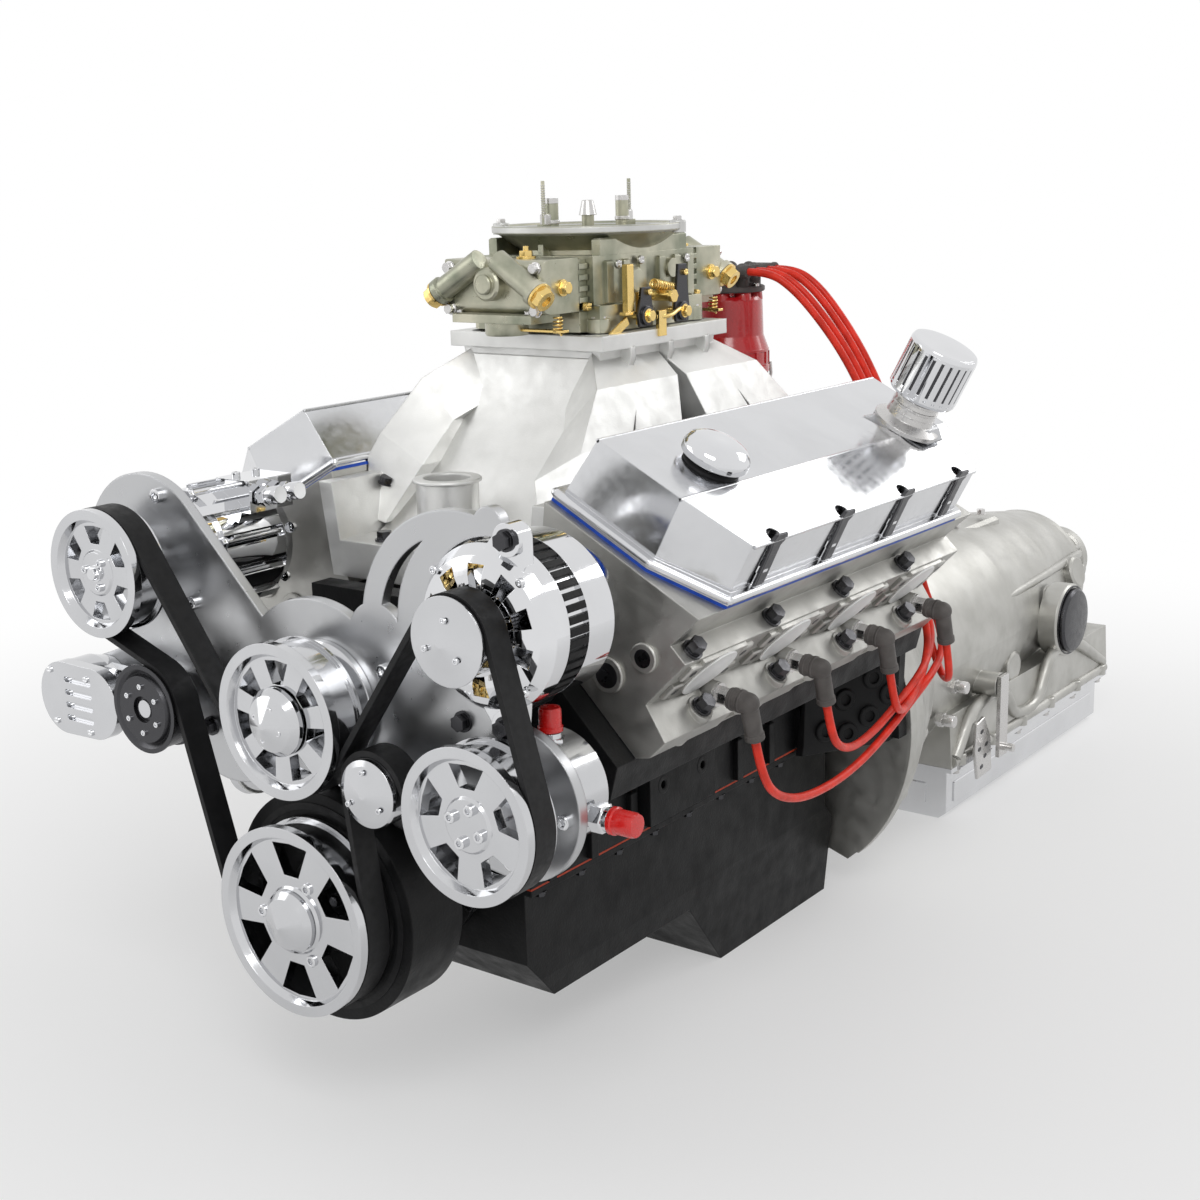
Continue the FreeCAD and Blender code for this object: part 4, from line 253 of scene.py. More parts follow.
def pill(length, width, steps=8):
    """An outline with round ends, lying along x about the origin."""
    radius = width / 2
    reach = length / 2 - radius
    points = []
    for side, start in ((1, -90), (-1, 90)):
        for i in range(steps + 1):
            angle = math.radians(start + 180 * i / steps)
            points.append((side * reach + radius * math.cos(angle), radius * math.sin(angle)))
    return points


def smooth_path(points, steps=6):
    """A smooth line through points."""
    points = [Vector(p) for p in points]
    ends = [points[0] * 2 - points[1]] + points + [points[-1] * 2 - points[-2]]
    line = []
    for a, b, c, d in zip(ends[:-3], ends[1:-2], ends[2:-1], ends[3:]):
        for i in range(steps):
            t = i / steps
            line.append(0.5 * (2 * b + (c - a) * t + (2 * a - 5 * b + 4 * c - d) * t * t
                               + (3 * b - a - 3 * c + d) * t ** 3))
    return line + [points[-1]]


def pipe(bm, points, radius, count=12):
    """A closed round bar along points."""
    points = [Vector(p) for p in points]
    side = Vector((0.31, 0.55, 0.77))
    before = None
    for i, point in enumerate(points):
        ahead = points[min(i + 1, len(points) - 1)] - points[max(i - 1, 0)]
        at = stand(point, ahead, side)
        side = at.to_3x3() @ LEFT
        here = ring_of(bm, at, radius, 0.0, count)
        if before:
            join_rings(bm, before, here, count)
        else:
            bm.faces.new(here[::-1])
        before = here
    bm.faces.new(before)


def coil(bm, place, direction, radius, length, turns, wire):
    """A spring wound from a round wire."""
    at = stand(place, direction)
    steps = int(turns * 14)
    points = []
    for i in range(steps + 1):
        angle = 2 * math.pi * turns * i / steps
        points.append(at @ Vector((radius * math.cos(angle), radius * math.sin(angle), length * i / steps)))
    pipe(bm, points, wire, 8)


def hex_head(bm, place, direction, across, height):
    """A hexagon head with its washer face and chamfered top, across its corners."""
    shares = [(1.18, 0), (1.18, 0.12), (1, 0.14), (1, 0.86), (0.86, 1), (0, 1)]
    lathe(bm, stand(place, direction), [(across / 2 * out, height * up) for out, up in shares], 24, (2, 3))


def socket_head(bm, place, direction, radius, height):
    """A cap screw with a hexagon socket."""
    at = stand(place, direction)
    lathe(bm, at, [(radius, 0), (radius, height * 0.85), (radius * 0.88, height), (radius * 0.58, height),
                   (radius * 0.56, height * 0.4), (0, height * 0.36)], 24, (3, 4))


def slotted_head(bm, place, direction, radius, height):
    """A cheese-head screw with a slot across it."""
    at = stand(place, direction)
    lathe(bm, at, [(radius, 0), (radius, height * 0.8), (radius * 0.85, height), (0, height)], 20)
    for side in (-1, 1):
        slab(bm, at @ Matrix.Translation((0, side * radius * 0.45, 0)), -radius * 0.8, radius * 0.8,
             -radius * 0.28, radius * 0.28, height * 0.9, height * 1.12, 0.1)


def dome_nut(bm, place, direction, radius):
    """A hexagon nut under a round cap."""
    shares = [(1.3, 0), (1.3, 0.25), (1, 0.3), (1, 1), (0.8, 1.25), (0.7, 1.5), (0.4, 1.8), (0, 1.9)]
    lathe(bm, stand(place, direction), [(radius * across, radius * up) for across, up in shares], 24, (2, 3))


def hose_fitting(bm, place, direction, radius, length):
    """A turned fitting: hexagon, collar, thread and flared end."""
    shares = [(0.8, 0), (0.8, 0.1), (1.15, 0.12), (1.15, 0.42), (0.82, 0.45), (0.82, 0.5), (1, 0.52),
              (1, 0.94), (0.9, 1), (0, 1)]
    lathe(bm, stand(place, direction), [(radius * across, length * up) for across, up in shares], 24, (2, 3))


def mirrored(bm, back=0.0):
    """Adds the same shapes on the other side of x = 0, moved back by a distance."""
    both = bmesh.ops.duplicate(bm, geom=bm.verts[:] + bm.edges[:] + bm.faces[:])["geom"]
    for v in [g for g in both if isinstance(g, bmesh.types.BMVert)]:
        v.co = Vector((-v.co.x, v.co.y + back, v.co.z))
    bmesh.ops.reverse_faces(bm, faces=[g for g in both if isinstance(g, bmesh.types.BMFace)])


def to_both_banks(bm):
    """Adds the right bank's copy of everything in bm."""
    mirrored(bm, BANK_STAGGER)


def finish_piece(name, bm, slot_name, body="engine", finish=None):
    """Turns bm into an object in the row frame that rides on a body."""
    bmesh.ops.recalc_face_normals(bm, faces=bm.faces[:])
    for v in bm.verts:
        v.co = (v.co - ORIGIN) * MM
    mesh = bpy.data.meshes.new(name)
    bm.to_mesh(mesh)
    bm.free()
    mesh.shade_smooth()
    mesh.set_sharp_from_angle(angle=SHARP_ANGLE)
    mesh.materials.append(finishes[finish or slot_name])
    piece = bpy.data.objects.new(name, mesh)
    bpy.context.scene.collection.objects.link(piece)
    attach(piece, body)
    return piece


# Materials

def shader(name, colour, metallic=0.0, roughness=0.5, **sockets):
    """A plain surface; an underscore in a socket's name stands for a space."""
    material = bpy.data.materials.new(name)
    material.use_nodes = True
    inputs = material.node_tree.nodes["Principled BSDF"].inputs
    inputs["Base Color"].default_value = (*colour, 1.0)
    inputs["Metallic"].default_value = metallic
    inputs["Roughness"].default_value = roughness
    for socket, value in sockets.items():
        inputs[socket.replace("_", " ")].default_value = value
    return material


def principled(material):
    return material.node_tree.nodes["Principled BSDF"]


def noise(material, scale, detail):
    """A soft random pattern fixed to the object."""
    nodes = material.node_tree.nodes
    coords = nodes.new("ShaderNodeTexCoord")
    texture = nodes.new("ShaderNodeTexNoise")
    texture.inputs["Scale"].default_value = scale
    texture.inputs["Detail"].default_value = detail
    material.node_tree.links.new(coords.outputs["Object"], texture.inputs["Vector"])
    return texture.outputs["Fac"]


def tint(material, factor, dark, light, low=0.35, high=0.65):
    """Colours that wander between dark and light."""
    ramp = material.node_tree.nodes.new("ShaderNodeValToRGB")
    ramp.color_ramp.elements[0].position = low
    ramp.color_ramp.elements[0].color = (*dark, 1.0)
    ramp.color_ramp.elements[1].position = high
    ramp.color_ramp.elements[1].color = (*light, 1.0)
    material.node_tree.links.new(factor, ramp.inputs["Fac"])
    material.node_tree.links.new(ramp.outputs["Color"], principled(material).inputs["Base Color"])


def uneven_gloss(material, factor, low, high):
    """Roughness that wanders between low and high."""
    spread = material.node_tree.nodes.new("ShaderNodeMapRange")
    spread.inputs["From Min"].default_value = 0.3
    spread.inputs["From Max"].default_value = 0.7
    spread.inputs["To Min"].default_value = low
    spread.inputs["To Max"].default_value = high
    material.node_tree.links.new(factor, spread.inputs["Value"])
    material.node_tree.links.new(spread.outputs["Result"], principled(material).inputs["Roughness"])


def relief(material, factor, strength, distance):
    """Bump on top of any bump that the material has."""
    nodes = material.node_tree.nodes
    links = material.node_tree.links
    bump = nodes.new("ShaderNodeBump")
    bump.inputs["Strength"].default_value = strength
    bump.inputs["Distance"].default_value = distance
    normal = principled(material).inputs["Normal"]
    if normal.links:
        links.new(normal.links[0].from_socket, bump.inputs["Normal"])
    links.new(factor, bump.inputs["Height"])
    links.new(bump.outputs["Normal"], normal)


def soft_edges(material, radius):
    """Rounds the look of every edge, as tumbling and handling do."""
    bevel = material.node_tree.nodes.new("ShaderNodeBevel")
    bevel.samples = 4
    bevel.inputs["Radius"].default_value = radius
    material.node_tree.links.new(bevel.outputs["Normal"], principled(material).inputs["Normal"])


def cast_metal(name, dark, light, roughness, grain):
    """Sand-cast metal: mottled tone, dull, with a fine grain and soft hollows."""
    material = shader(name, light, 0.92, roughness)
    soft_edges(material, 0.0016)
    tint(material, noise(material, 22, 5), dark, light)
    uneven_gloss(material, noise(material, 60, 4), roughness - 0.07, roughness + 0.1)
    relief(material, noise(material, 900, 2), 0.35 * grain, 0.0004)
    relief(material, noise(material, 90, 3), 0.25 * grain, 0.001)
    return material


def bright_metal(name, colour, low, high, wave=0.01, edge=0.0006):
    """Polished or plated metal: nearly a mirror, with faint rubbing marks and a slight waviness."""
    material = shader(name, colour, 1.0, low)
    soft_edges(material, edge)
    shade = tuple(c * 0.93 for c in colour)
    tint(material, noise(material, 14, 4), shade, colour, 0.3, 0.6)
    uneven_gloss(material, noise(material, 130, 6), low, high)
    relief(material, noise(material, 28, 2), wave, 0.002)
    return material


def blasted_metal(name, colour, roughness):
    """Bead-blasted metal: an even satin with a very fine tooth and brighter, rubbed edges."""
    material = shader(name, colour, 1.0, roughness)
    soft_edges(material, 0.0022)
    shade = tuple(c * 0.94 for c in colour)
    tint(material, noise(material, 8, 3), shade, colour, 0.3, 0.7)
    uneven_gloss(material, noise(material, 70, 3), roughness - 0.03, roughness + 0.04)
    relief(material, noise(material, 1500, 2), 0.06, 0.0002)
    return material


def painted_iron():
    """Satin black paint over rough cast iron."""
    material = shader("painted iron", (0.007, 0.0072, 0.0076), 0.0, 0.42, Specular_IOR_Level=0.16)
    soft_edges(material, 0.0018)
    tint(material, noise(material, 16, 5), (0.005, 0.0051, 0.0055), (0.010, 0.0102, 0.0108))
    uneven_gloss(material, noise(material, 45, 4), 0.34, 0.55)
    relief(material, noise(material, 420, 3), 0.35, 0.0006)
    relief(material, noise(material, 38, 3), 0.35, 0.0016)
    return material


def rubber(name, colour, roughness, grain=0.2):
    """Dull rubber with a fine tooth."""
    material = shader(name, colour, 0.0, roughness, Specular_IOR_Level=0.25)
    light = tuple(min(1.0, c * 1.35 + 0.002) for c in colour)
    tint(material, noise(material, 70, 4), colour, light)
    uneven_gloss(material, noise(material, 160, 3), roughness - 0.06, roughness + 0.1)
    relief(material, noise(material, 1400, 2), grain, 0.0003)
    return material


def plastic(name, colour, roughness, coat=0.3):
    """Moulded plastic under a thin clear skin."""
    material = shader(name, colour, 0.0, roughness, Coat_Weight=coat, Coat_Roughness=0.12)
    soft_edges(material, 0.0006)
    light = tuple(min(1.0, c * 1.12 + 0.004) for c in colour)
    tint(material, noise(material, 30, 3), colour, light)
    uneven_gloss(material, noise(material, 200, 3), roughness - 0.05, roughness + 0.08)
    relief(material, noise(material, 700, 2), 0.06, 0.0003)
    return material


def conversion_coat():
    """Zinc castings under an olive conversion coat that drifts to gold."""
    material = shader("conversion coat", (0.42, 0.42, 0.34), 0.85, 0.34)
    soft_edges(material, 0.0008)
    factor = noise(material, 26, 4)
    tint(material, factor, (0.25, 0.265, 0.20), (0.56, 0.54, 0.43), 0.3, 0.68)
    uneven_gloss(material, noise(material, 90, 4), 0.26, 0.46)
    relief(material, noise(material, 800, 2), 0.25, 0.0004)
    return material


def build_finishes():
    return {
        "block_black": painted_iron(),
        "cast_aluminium": cast_metal("cast aluminium", (0.53, 0.53, 0.515), (0.60, 0.60, 0.585), 0.44, 0.8),
        # Painted light: a paler copy of cast aluminium for the intake, which faces the lamps on top.
        "pale_casting": cast_metal("lit pale casting", (0.66, 0.66, 0.645), (0.74, 0.74, 0.725), 0.46, 0.8),
        # Painted shade: a darker copy of cast aluminium for the heads, whose sides get less light.
        "head_casting": cast_metal("shaded head casting", (0.40, 0.395, 0.375), (0.49, 0.485, 0.46), 0.42, 0.8),
        "satin_plate": blasted_metal("satin plate", (0.52, 0.525, 0.535), 0.30),
        "polished_aluminium": bright_metal("polished aluminium", (0.60, 0.605, 0.62), 0.07, 0.15),
        "cover_aluminium": bright_metal("cover aluminium", (0.66, 0.665, 0.68), 0.12, 0.22, 0.03, 0.0012),
        "chrome": bright_metal("chrome", (0.70, 0.705, 0.72), 0.03, 0.07),
        "machined_steel": bright_metal("machined steel", (0.60, 0.59, 0.58), 0.2, 0.34),
        "plain_iron": cast_metal("plain iron", (0.22, 0.21, 0.205), (0.30, 0.29, 0.28), 0.45, 0.4),
        "gasket_blue": rubber("blue gasket", (0.012, 0.06, 0.38), 0.4),
        "gasket_orange": rubber("orange gasket", (0.42, 0.045, 0.015), 0.45),
        "belt_rubber": rubber("belt rubber", (0.006, 0.006, 0.0065), 0.5, 0.3),
        "boot_rubber": rubber("boot rubber", (0.085, 0.078, 0.074), 0.5),
        "wire_red": rubber("silicone wire", (0.66, 0.035, 0.018), 0.36, 0.08),
        "cap_red": plastic("red cap", (0.50, 0.008, 0.012), 0.22, 0.5),
        "port_cap_red": plastic("red port cap", (0.68, 0.010, 0.008), 0.24, 0.4),
        "cover_white": plastic("white cover", (0.90, 0.90, 0.89), 0.35, 0.2),
        "carb_zinc": conversion_coat(),
        "brass": bright_metal("brass", (0.80, 0.58, 0.22), 0.16, 0.3),
        "trans_cast": cast_metal("transmission casting", (0.42, 0.415, 0.39), (0.50, 0.495, 0.47), 0.38, 0.4),
        "dark_steel": bright_metal("dark steel", (0.07, 0.07, 0.075), 0.22, 0.38),
    }


def slot_finish(slot):
    """The name of the finish that one material slot of the frame stands for."""
    label = slot.material.name.split(":")[-1] if slot.material else ""
    return next((name for name in finishes if label.startswith(name)), None)


def dress_frame():
    """Gives every carried-over node the finish of its slot, or the copy with painted light or painted shade
    listed for it.
    """
    for node_name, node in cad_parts.items():
        for slot in node.material_slots:
            name = PAINTED_LIGHT_FINISHES.get(node_name) or slot_finish(slot)
            if name:
                slot.material = finishes[name]


# Plug wires

def wire_points(cylinder, side):
    """The route of one wire, from its boot's tip to its distributor terminal."""
    y = BORE_YS[cylinder]
    tip = BOOT_TIP + BACK * y
    drop = (BOOT_TIP - BOOT_ELBOW).normalized() * WIRE_DROP
    lower = [tip, tip + drop] + [Vector(p) for p in WIRE_LOWER_ROUTES[cylinder]]
    stagger = BANK_STAGGER if side < 0 else 0.0
    points = [Vector((side * p.x, p.y + stagger, p.z)) for p in lower]
    lane = WIRE_LANES[cylinder] + stagger
    terminal_ys = sorted((seat.y for seat in terminal_seats(0) if seat.x > 0), reverse=True)
    end = terminal_ys[cylinder]
    for x, z, share in WIRE_UPPER_ROUTE:
        points.append(Vector((side * x, lane + (end - lane) * share, z)))
    points.append(Vector((side * WIRE_END[0], end, WIRE_END[1])))
    return points


def plug_wires():
    """The eight wires as round curves."""
    for side, label in ((1, "left"), (-1, "right")):
        for cylinder in range(4):
            points = [(p - ORIGIN) * MM for p in wire_points(cylinder, side)]
            name = f"plug_wire_{label}_{cylinder + 1}"
            curve = bpy.data.curves.new(name, "CURVE")
            curve.dimensions = "3D"
            curve.bevel_depth = WIRE_RADIUS * MM
            curve.bevel_resolution = 4
            curve.use_fill_caps = True
            spline = curve.splines.new("NURBS")
            spline.points.add(len(points) - 1)
            for target, point in zip(spline.points, points):
                target.co = (*point, 1.0)
            spline.order_u = 3
            spline.use_endpoint_u = True
            spline.resolution_u = 8
            curve.materials.append(finishes["wire_red"])
            wire = bpy.data.objects.new(name, curve)
            bpy.context.scene.collection.objects.link(wire)
            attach(wire, "engine")
            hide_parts(f"plug_wires_{label}")


# Front drive

def on_axis(centre, radius, degrees, y):
    """A point at a radius and angle round a pulley's axis, at y."""
    angle = math.radians(degrees)
    return Vector((centre[0] + radius * math.sin(angle), y, centre[1] + radius * math.cos(angle)))


def facing_out(centre, radius, degrees, y, lean=0.0):
    """A frame at a point round an axis, with z forward and x outward, turned on by a lean."""
    return stand(on_axis(centre, radius, degrees, y), FRONT, on_axis((0, 0), 1, degrees + lean, 0))


def pulley_screws():
    """The screws of each hub or cover: axis, y, circle, how many, radius and the first one's angle."""
    for name, body, centre, y, circle, count, radius, start in (
            ("water_pump_cap_screws", "water_pump_rotor", WATER_PUMP, -172.5, 14.0, 4, 2.8, 20),
            ("crank_pulley_bolts", "crank", CRANK, PULLEY_FACE_Y, 37.0, 3, 5.2, 30),
            ("steering_pulley_bolts", "steering_pump_rotor", STEERING, HUB_FACE_Y, 15.0, 4, 4.8, 20),
            ("clutch_screws", "compressor_clutch", COMPRESSOR, HUB_FACE_Y, 13.0, 3, 3.6, 40),
            ("alternator_cover_screws", "alternator_spindle", ALTERNATOR, -165.6, 18.0, 3, 2.6, 10),
            ("idler_cover_screws", "belt_idler", IDLER, -165.0, 19.0, 3, 2.4, 0),
            ("tensioner_wheel_bolt", "tensioner_wheel", TENSIONER, -160.0, 21.0, 6, 2.6, 0)):
        bm = bmesh.new()
        for i in range(count):
            place = on_axis(centre, circle, start + 360 * i / count, y)
            socket_head(bm, place, FRONT, radius, radius * 0.9)
        finish_piece(name, bm, "chrome", body)


def clutch_hub():
    """The compressor clutch's centre nut on its washer."""
    bm = bmesh.new()
    at = stand(on_axis(COMPRESSOR, 0, 0, HUB_FACE_Y), FRONT)
    lathe(bm, at, [(7.5, 0), (7.5, 1.2), (6.0, 1.4), (6.0, 4.6), (5.0, 5.4), (0, 5.4)], 24, (2, 3))
    finish_piece("clutch_nut", bm, "chrome", "compressor_clutch")


def idler_arm():
    """The spear-shaped arm behind the idler."""
    bm = bmesh.new()
    at = stand((IDLER[0], -124, IDLER[1]), FRONT, (-1, 0, -0.2))
    prism(bm, at, [(-16, -20), (10, -19), (62, -3), (66, 0), (62, 3), (10, 19), (-16, 20)], 0, 8, 1.5)
    socket_head(bm, at @ Vector((48, 0, 8)), FRONT, 4.0, 3.0)
    finish_piece("idler_arm", bm, "polished_aluminium")


def bracket_screws():
    """Cap screws that hold the accessories to their bracket."""
    bm = bmesh.new()
    for degrees in (-62, 20, 118, 205):
        socket_head(bm, on_axis(COMPRESSOR, 66, degrees, BRACKET_FRONT_Y), FRONT, 6.5, 5.0)
    for degrees in (60, 120, 240, 300):
        socket_head(bm, on_axis(WATER_PUMP, 78, degrees, BRACKET_FRONT_Y), FRONT, 6.0, 4.5)
    for degrees in (5, 95, 185):
        socket_head(bm, on_axis(STEERING, 50, degrees, BRACKET_FRONT_Y), FRONT, 6.0, 4.5)
    finish_piece("bracket_cap_screws", bm, "chrome")


def tensioner_screws():
    """The slotted screws in the cover of the tensioner's arm."""
    bm = bmesh.new()
    for dx, dz in ((-18, 24), (34, 22), (-14, -24), (34, -28)):
        slotted_head(bm, (TENSIONER_PIVOT[0] + dx, -157.0, TENSIONER_PIVOT[1] + dz), FRONT, 3.0, 1.8)
    finish_piece("tensioner_cover_screws", bm, "chrome", "belt_tensioner")


def alternator_windings():
    """The finned stator ring, and the windings that show behind the front slots."""
    bm = bmesh.new()
    fins = 44
    for i in range(fins):
        slab(bm, facing_out(ALTERNATOR, 62.5, 360 * i / fins, -72.5), 0, 3.4, -2.9, 2.9, 0, 23, 0.8)
    finish_piece("alternator_stator_fins", bm, "block_black")
    bm = bmesh.new()
    at = stand(on_axis(ALTERNATOR, 0, 0, -108), FRONT)
    lathe(bm, at, [(47, 0), (53.5, 0), (53.5, 7), (47, 7), (47, 0)], 48)
    for i in range(36):
        lathe(bm, facing_out(ALTERNATOR, 50, 10 * i, -115), [(2.6, 0), (2.4, 1.6), (0, 2.4)], 10)
    finish_piece("alternator_windings", bm, "brass")


def alternator_fan():
    """The leaning blades and the ring of the fan, behind the front slots."""
    bm = bmesh.new()
    for i in range(12):
        slab(bm, facing_out(ALTERNATOR, 24, 30 * i, -127.2, 24), 0, 15, -0.8, 0.8, 0, 2.4, 0.2)
    at = stand(on_axis(ALTERNATOR, 0, 0, -126.6), FRONT)
    lathe(bm, at, [(11, 0), (27, 0), (27, 1.0), (11, 1.0), (11, 0)], 40)
    finish_piece("alternator_fan", bm, "machined_steel", "alternator_spindle")


def alternator_bolts():
    """The four long bolts with their nuts, and the two studs at the back."""
    bm = bmesh.new()
    for i in range(4):
        socket_head(bm, on_axis(ALTERNATOR, 60, 45 + 90 * i, -122), FRONT, 3.6, 3.6)
        hex_head(bm, on_axis(ALTERNATOR, 46, 45 + 90 * i, -17), BACK, 8, 4)
    for degrees, height in ((20, 12), (-30, 9)):
        at = stand(on_axis(ALTERNATOR, 36, degrees, -16), BACK)
        lathe(bm, at, [(6, 0), (6, 3), (3, 3.2), (3, height), (0, height)], 16)
    finish_piece("alternator_bolts", bm, "chrome")


def compressor_fittings():
    """The compressor's through bolts, hose fittings and ribs."""
    bm = bmesh.new()
    for i in range(6):
        degrees = 60 * i + 15
        hex_head(bm, on_axis(COMPRESSOR, 50, degrees, 26), BACK, 9, 5)
        place = on_axis(COMPRESSOR, 57, degrees, -60)
        lathe(bm, stand(place, BACK), [(3, 0), (3, 66), (0, 66)], 12)
        hex_head(bm, place + FRONT * 0.2, FRONT, 9, 5)
    for dy in (-16, 8):
        place = Vector((COMPRESSOR[0] + 58, dy, COMPRESSOR[1] + 50))
        hose_fitting(bm, place, (1, 0, 0.15), 8.5, 26)
        socket_head(bm, (COMPRESSOR[0] + 26, dy, COMPRESSOR[1] + 66), UP, 4, 4)
    for i in range(10):
        place = on_axis(COMPRESSOR, 58, 36 * i, -52)
        at = stand(place, on_axis((0, 0), 1, 36 * i, 0), BACK)
        slab(bm, at, 0, 44, -1.2, 1.2, -1, 4, 0.5)
    finish_piece("compressor_fittings", bm, "chrome")


def steering_pump_fittings():
    """Hexagon unions under the two red port caps, and the pump's bolts and rear lid."""
    centre = on_axis(STEERING, 0, 0, 0)
    unions = ([(9.4, 0), (9.4, 4), (12.5, 4.2), (12.5, 15), (10, 16), (10, 20), (0, 20)],
              [(9.2, 0), (9.2, 2), (12, 2.2), (12, 11), (9.6, 12), (0, 12)])
    bm = bmesh.new()
    for (seat, way), union in zip(STEERING_PORTS, unions):
        lathe(bm, stand(centre + seat, way), union, 24, (2, 3))
    for i in range(4):
        socket_head(bm, on_axis(STEERING, 38, 45 + 90 * i, -90), FRONT, 4, 3.5)
        hex_head(bm, on_axis(STEERING, 33, 45 + 90 * i, -36), BACK, 9, 5)
    lathe(bm, stand(centre + FRONT * 36, BACK), [(30, 0), (29, 3), (20, 7), (0, 8)], 40)
    finish_piece("steering_pump_unions", bm, "chrome")


def port_cap_grips():
    """The two red caps with their raised grip rings, each at its distance above its port's seat."""
    centre = on_axis(STEERING, 0, 0, 0)
    caps = ((20.6, [(10.1, 0), (11.4, 0.6), (11.4, 4), (10.2, 5), (10.2, 21), (9.2, 23.6), (0, 24.2)]),
            (16.6, [(9.1, 0), (10.2, 0.6), (10.2, 4), (9.2, 5), (9.2, 17), (8.2, 19.6), (0, 20.2)]))
    bm = bmesh.new()
    for (seat, way), (above, cap) in zip(STEERING_PORTS, caps):
        lathe(bm, stand(centre + seat + way * above, way), cap, 32)
    covers = finish_piece("port_cap_covers", bm, "port_cap_red")
    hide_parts("ps_port_caps")


def water_pump_fittings():
    """The water pump's bolts, and the bead near the end of its inlet spigot."""
    bm = bmesh.new()
    for side in (-1, 1):
        for dx, dz in ((0, 14), (0, -16)):
            hex_head(bm, (side * 112 + dx, -70, 160 + dz), FRONT, 11, 6)
    for i in range(5):
        hex_head(bm, on_axis(WATER_PUMP, 54, 36 + 72 * i, -94), FRONT, 9, 4)
    finish_piece("water_pump_bolts", bm, "machined_steel")
    start = Vector((-20, -68, 130))
    way = Vector((-1, 0, -0.4)).normalized()
    bm = bmesh.new()
    lathe(bm, stand(start + way * 124, way), [(23, 0), (24.6, 1.2), (24.6, 3.4), (23, 4.6)], 40)
    finish_piece("water_inlet_bead", bm, "cast_aluminium")


def damper_details():
    """The damper's rubber ring and its three bolts."""
    bm = bmesh.new()
    lathe(bm, stand((0, -124.2, 0), FRONT), [(92, -0.5), (92, 0.6), (86, 0.6), (86, -0.5)], 72)
    finish_piece("damper_rubber_ring", bm, "belt_rubber", "crank")
    bm = bmesh.new()
    for i in range(3):
        hex_head(bm, on_axis(CRANK, 30, 60 + 120 * i, -132), FRONT, 10, 6)
    finish_piece("damper_bolts", bm, "dark_steel", "crank")


# Heads and covers

def exhaust_frame(y):
    """A frame on the left head's exhaust port, z out of the port and x back."""
    return stand(on_bank(EXHAUST_U, y, EXHAUST_V), BANK_OUT, BACK)


def head_details():
    """Square bosses with tapped holes beside each port, and the plugs in the heads' ends; a dark disc on each
    paints the shade in its hole.
    """
    hole_shades = bmesh.new()
    rims = bmesh.new()
    for y in BORE_YS:
        at = exhaust_frame(y)
        for dy in (-38, 38):
            for dv in (-13, 13):
                spot = at @ Matrix.Translation((dy, dv, 0))
                slab(rims, spot, -9, 9, -9, 9, -14, 0.5, 1.4)
                # Painted shade: a dark disc for the shade inside each tapped hole.
                lathe(hole_shades, spot, [(4.0, 0.52), (4.0, 0.72), (0, 0.72)], 16)
    for dv, size in ((18, 11), (58, 8)):
        at = stand(on_bank(-6 + dv * 0.3, HEAD_FRONT_Y, 262 + dv), FRONT, LEFT)
        lathe(rims, at, [(size + 5, -2), (size + 5, 2), (size + 4, 3), (0, 3)], 28)
        lathe(hole_shades, at, [(size, 3.02), (size, 3.2), (0, 3.2)], 24)
    to_both_banks(rims)
    to_both_banks(hole_shades)
    finish_piece("head_bosses", rims, "cast_aluminium", finish="head_casting")
    # The dark discs are painted shade, not geometry of the holes.
    finish_piece("head_hole_painted_shade", hole_shades, "dark_steel")


def plug_line(y):
    """The seat of one bore's plug, and the line from it to the elbow of its boot."""
    u, behind, v = PLUG_SEAT
    seat = on_bank(u, y + behind, v)
    return seat, BOOT_ELBOW + BACK * y - seat


def plug_details():
    """The crimped collar between each plug's hexagon and its boot."""
    bm = bmesh.new()
    for y in BORE_YS:
        seat, line = plug_line(y)
        axis = line.normalized()
        lathe(bm, stand(seat + axis * 11.5, axis), [(8.2, 0), (8.2, 1.6), (6.4, 2.2), (6.2, 4)], 24)
    to_both_banks(bm)
    finish_piece("plug_collars", bm, "machined_steel")


def boot_details():
    """Grip ribs round each plug boot, and its lip at the wire."""
    bm = bmesh.new()
    down = (BOOT_TIP - BOOT_ELBOW).normalized()
    for y in BORE_YS:
        seat, line = plug_line(y)
        axis = line.normalized()
        for along in (15, 22, 29):
            at = stand(seat + axis * min(along, line.length - 8), axis)
            lathe(bm, at, [(9.5, 0), (10.3, 0.6), (10.3, 2.2), (9.5, 2.8)], 28)
        tip = BOOT_TIP + BACK * y
        lathe(bm, stand(tip - down * 6, down), [(8.0, 0), (8.9, 0.6), (8.9, 5.4), (7.6, 6.4), (4.1, 6.4)], 28)
    to_both_banks(bm)
    finish_piece("plug_boot_ribs", bm, "boot_rubber")


def port_cover_rims():
    """The face and thin rim of each white port cover."""
    bm = bmesh.new()
    for y in BORE_YS:
        at = exhaust_frame(y) @ Matrix.Translation((0, 0, 1.5))
        lathe(bm, at, [(28, -1.4), (28.6, -0.6), (28.2, 0.3), (26.5, 0.5), (25.6, 0.12), (0, 0.1)], 48)
    to_both_banks(bm)
    finish_piece("port_cover_faces", bm, "cover_white")


